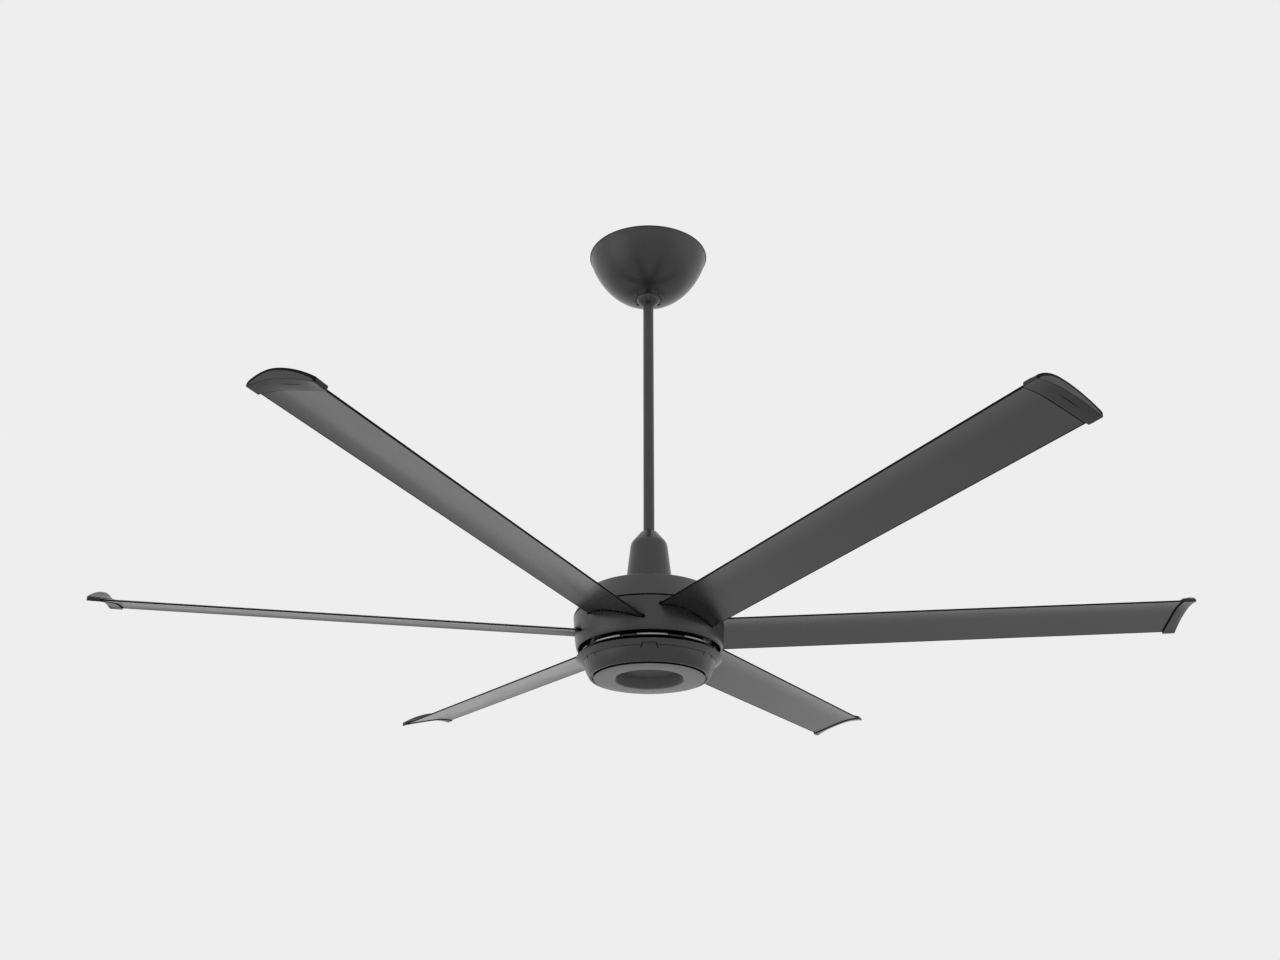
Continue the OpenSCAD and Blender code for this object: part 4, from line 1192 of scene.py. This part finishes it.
# %% Shapes at the mouth and at the fin
cap_proud = 1.6
cap_lead = lead_reach + 1.2
cap_trail = trail_reach + 2.8
fin_h = 18.6
fin_peak_y = -14.0
under_peak_y = -12.0
mouth_peak_y = -16.0
mouth_peak = arch_peak + blade_t / 2 + cap_proud


def fin_top(y):
    return arch(y, fin_peak_y, fin_h, cap_lead, fin_h - 1.4, 2.3, cap_trail, fin_h - 3, 1.8)


def fin_under(y):
    return arch(y, under_peak_y, 3.4, cap_lead, 8.0, 2.0, cap_trail, 7.8, 2.1)


def mouth_top(y):
    return arch(y, mouth_peak_y, mouth_peak, cap_lead, mouth_peak - 2.8, 2.2,
                cap_trail, mouth_peak - 2.6, 1.8)


print("The fin is", round(fin_top(fin_peak_y) - fin_under(fin_peak_y), 1), "mm high in its middle")

# %% One ring of a cap
cap_steps = 40
side_round = 1.1
inset_drop = 0.5
inset_lift = 0.3
fuller_from = 0.55
fuller_lead = 2.3
fuller_trail = 1.4


def round_drop(near, radius):
    return radius - sqrt(max(0.0, radius ** 2 - max(0.0, radius - near) ** 2))


def cap_ring(along):
    up = smooth_key(along, upper_turn)
    low = smooth_key(along, lower_turn)
    inset = smooth_key(along, outline_inset)
    fuller = max(0.0, along - fuller_from) / (1 - fuller_from)
    first = -cap_lead + inset
    last = cap_trail - inset
    tops = []
    lows = []
    for share in stations(cap_steps):
        y = first + share * (last - first)
        under = camber(y) - half_thickness(y) - cap_proud
        top = mouth_top(y) * (1 - up) + fin_top(y) * up - inset_drop * inset
        bottom = under * (1 - low) + fin_under(y) * low + inset_lift * inset
        near = min(y - first, last - y)
        top_round = side_round + fuller * (fuller_lead if y < 0 else fuller_trail)
        tops.append((cap_x + along * cap_length, y, top - round_drop(near, top_round)))
        lows.append((cap_x + along * cap_length, y, bottom + round_drop(near, side_round)))
    return tops + lows[::-1]


print("A ring of a cap has", len(cap_ring(0.5)), "points")

# %% Rings inside the end face
low_share = 0.5
steps_in_thickness = 1.6


# Both skins move inwards, the lower one less, and where the end is thin they move less still
def shrunk(ring, amount):
    half = len(ring) // 2
    first, last = ring[0][1], ring[half - 1][1]
    middle = (first + last) / 2
    scale = 1 - 2 * amount / (last - first)
    result = []
    for i, (x, y, z) in enumerate(ring):
        step = min(amount, abs(z - ring[-1 - i][2]) / steps_in_thickness)
        z += -step if i < half else low_share * step
        result.append((x, middle + (y - middle) * scale, z))
    return result


# %% [markdown]
# ## Marks and caps
# A dark line of painted shade runs under the cap's upper edge at the end face, and its lower edge
# and its two sides get a darker, duller coat, partly low gloss and partly painted shade; the rest
# keeps the moulded stipple. The marks follow the rings: points past a set share of the length
# belong to the end, and the outermost points of each ring to the sides. Two punches of the blade's
# shape then hollow the cap, one for the blade and one, a little larger, for the mouth.

# %% How much of an edge each point of a cap is
# this mark picks the darker side coat, partly painted shade
side_shade_mark = 0.6
end_from = 0.94


def cap_marks(top_mark, low_mark):
    side_points = (0, 1, cap_steps - 1, cap_steps)
    side = [side_shade_mark if i in side_points else 0.0 for i in range(cap_steps + 1)]
    return [max(top_mark, mark) for mark in side] + [max(low_mark, mark) for mark in side]


# %% Caps on the blades
cap_rings = 30
cap_fold = 38.0
socket_gap = 0.15
mouth_gap = 0.55
mouth_depth = 2.0
line_width = 2.5
line_fade = 0.3
mouth_stations = {0.02, 0.05}
end_ring = cap_ring(1.0)
cap_stations = sorted({round(share, 4) for share in stations(cap_rings)} | mouth_stations)
cap_skin = [cap_ring(along) for along in cap_stations]
# painted shade: an inner ring on the end face carries a dark line along its upper edge
cap_skin += [shrunk(end_ring, line_width), shrunk(end_ring, line_width + line_fade)]
marks = []
for along in cap_stations:
    marks += cap_marks(1.0, side_shade_mark) if along > end_from else cap_marks(0.0, 0.0)
marks += cap_marks(1.0, 0.0) + cap_marks(0.0, 0.0)
for k in blade_numbers:
    cap = loft(f"cap_{k}", cap_skin, 0, cap_fold)
    mark_edges(cap, marks)
    cap.matrix_world = blade_place(k)
    combine(cap, [blade_punch(k, socket_gap, cap_x - 1, blade_end + 0.25),
                  blade_punch(k, mouth_gap, cap_x - 1, cap_x + mouth_depth)], sharp_angle=cap_fold)
    fit(cap, "rotor", "black_nylon", f"tip_cap_{k}")
    paint_edge_shade(cap)
print("Coats on a cap:", [coat.name for coat in cap.data.materials])

# %% [markdown]
# # The studio
# ## Floor
# A plain pale floor lies well below the fan and throws soft light up at it, which is what the eye
# expects under a ceiling fan in a white room. Seen from below it is clear, so that a camera under
# it still sees the fan.

# %% Floor
floor_z = -2.75
floor_half = 9.0
floor_tone = 0.82
corners = [(-floor_half, -floor_half), (floor_half, -floor_half),
           (floor_half, floor_half), (-floor_half, floor_half)]
floor_mesh = bpy.data.meshes.new("floor")
floor_mesh.from_pydata([(x, y, floor_z) for x, y in corners], [], [(0, 1, 2, 3)])
floor = bpy.data.objects.new("floor", floor_mesh)
bpy.context.scene.collection.objects.link(floor)
print("Floor is", 2 * floor_half, "m square")

# %% Finish of the floor
floor_finish, nodes, links, shader = new_finish("pale floor", grey(floor_tone), 0.9)
clear = nodes.new("ShaderNodeBsdfTransparent")
face = nodes.new("ShaderNodeNewGeometry")
either = nodes.new("ShaderNodeMixShader")
links.new(face.outputs["Backfacing"], either.inputs["Fac"])
links.new(shader.outputs["BSDF"], either.inputs[1])
links.new(clear.outputs["BSDF"], either.inputs[2])
links.new(either.outputs["Shader"], nodes["Material Output"].inputs["Surface"])
floor_mesh.materials.append(floor_finish)
print("Floor lies", -floor_z, "m below the ceiling")

# %% [markdown]
# ## World
# The photograph has an even, very pale backdrop, and the satin coat mirrors it at every edge.
# So what the camera sees, and what gloss reflects, is that backdrop's tone. The light that
# falls on the fan is set apart from it, at a plain level.

# %% World
backdrop = 0.855
fill_light = 0.80
world = bpy.data.worlds.new("studio")
bpy.context.scene.world = world
world.use_nodes = True
nodes = world.node_tree.nodes
links = world.node_tree.links
seen = nodes["Background"]
seen.inputs["Color"].default_value = (*grey(backdrop), 1.0)
seen.inputs["Strength"].default_value = 1.0
lit = nodes.new("ShaderNodeBackground")
lit.inputs["Color"].default_value = (*grey(1.0), 1.0)
lit.inputs["Strength"].default_value = fill_light
print("Backdrop", backdrop, "and fill light", fill_light)


# %% Which rays see the backdrop
def either_of(first, second):
    larger = nodes.new("ShaderNodeMath")
    larger.operation = "MAXIMUM"
    links.new(first, larger.inputs[0])
    links.new(second, larger.inputs[1])
    return larger.outputs["Value"]


path = nodes.new("ShaderNodeLightPath")
gloss_too = either_of(path.outputs["Is Camera Ray"], path.outputs["Is Glossy Ray"])
glass_too = either_of(gloss_too, path.outputs["Is Transmission Ray"])
choice = nodes.new("ShaderNodeMixShader")
links.new(glass_too, choice.inputs["Fac"])
links.new(lit.outputs["Background"], choice.inputs[1])
links.new(seen.outputs["Background"], choice.inputs[2])
links.new(choice.outputs["Shader"], nodes["World Output"].inputs["Surface"])

# %% [markdown]
# ## Lamps
# Two large soft lamps give the round parts a gentle shape without hard shadows. They stand left
# and right in front of the fan, like the softboxes of a small studio, and the left one is stronger.

# %% Lamps
lamp_aim = Vector((0.0, 0.0, -0.6))
lamp_size = 2.8


def soft_lamp(name, place, watts):
    data = bpy.data.lights.new(name, "AREA")
    data.shape = "DISK"
    data.size = lamp_size
    data.energy = watts
    lamp = bpy.data.objects.new(name, data)
    lamp.location = place
    lamp.rotation_euler = (lamp_aim - Vector(place)).to_track_quat("-Z", "Y").to_euler()
    bpy.context.scene.collection.objects.link(lamp)
    print(name, "gives", watts, "W")


soft_lamp("left lamp", (-3.0, -1.6, -0.9), 7.0)
soft_lamp("right lamp", (3.2, -1.2, -0.5), 2.4)

# %% [markdown]
# ## Colour as it is
# The standard view shows each colour about as it is written. A filmic view would grey the backdrop.

# %% Look and colour
bpy.context.scene.view_settings.view_transform = "Standard"
print("View:", bpy.context.scene.view_settings.view_transform)
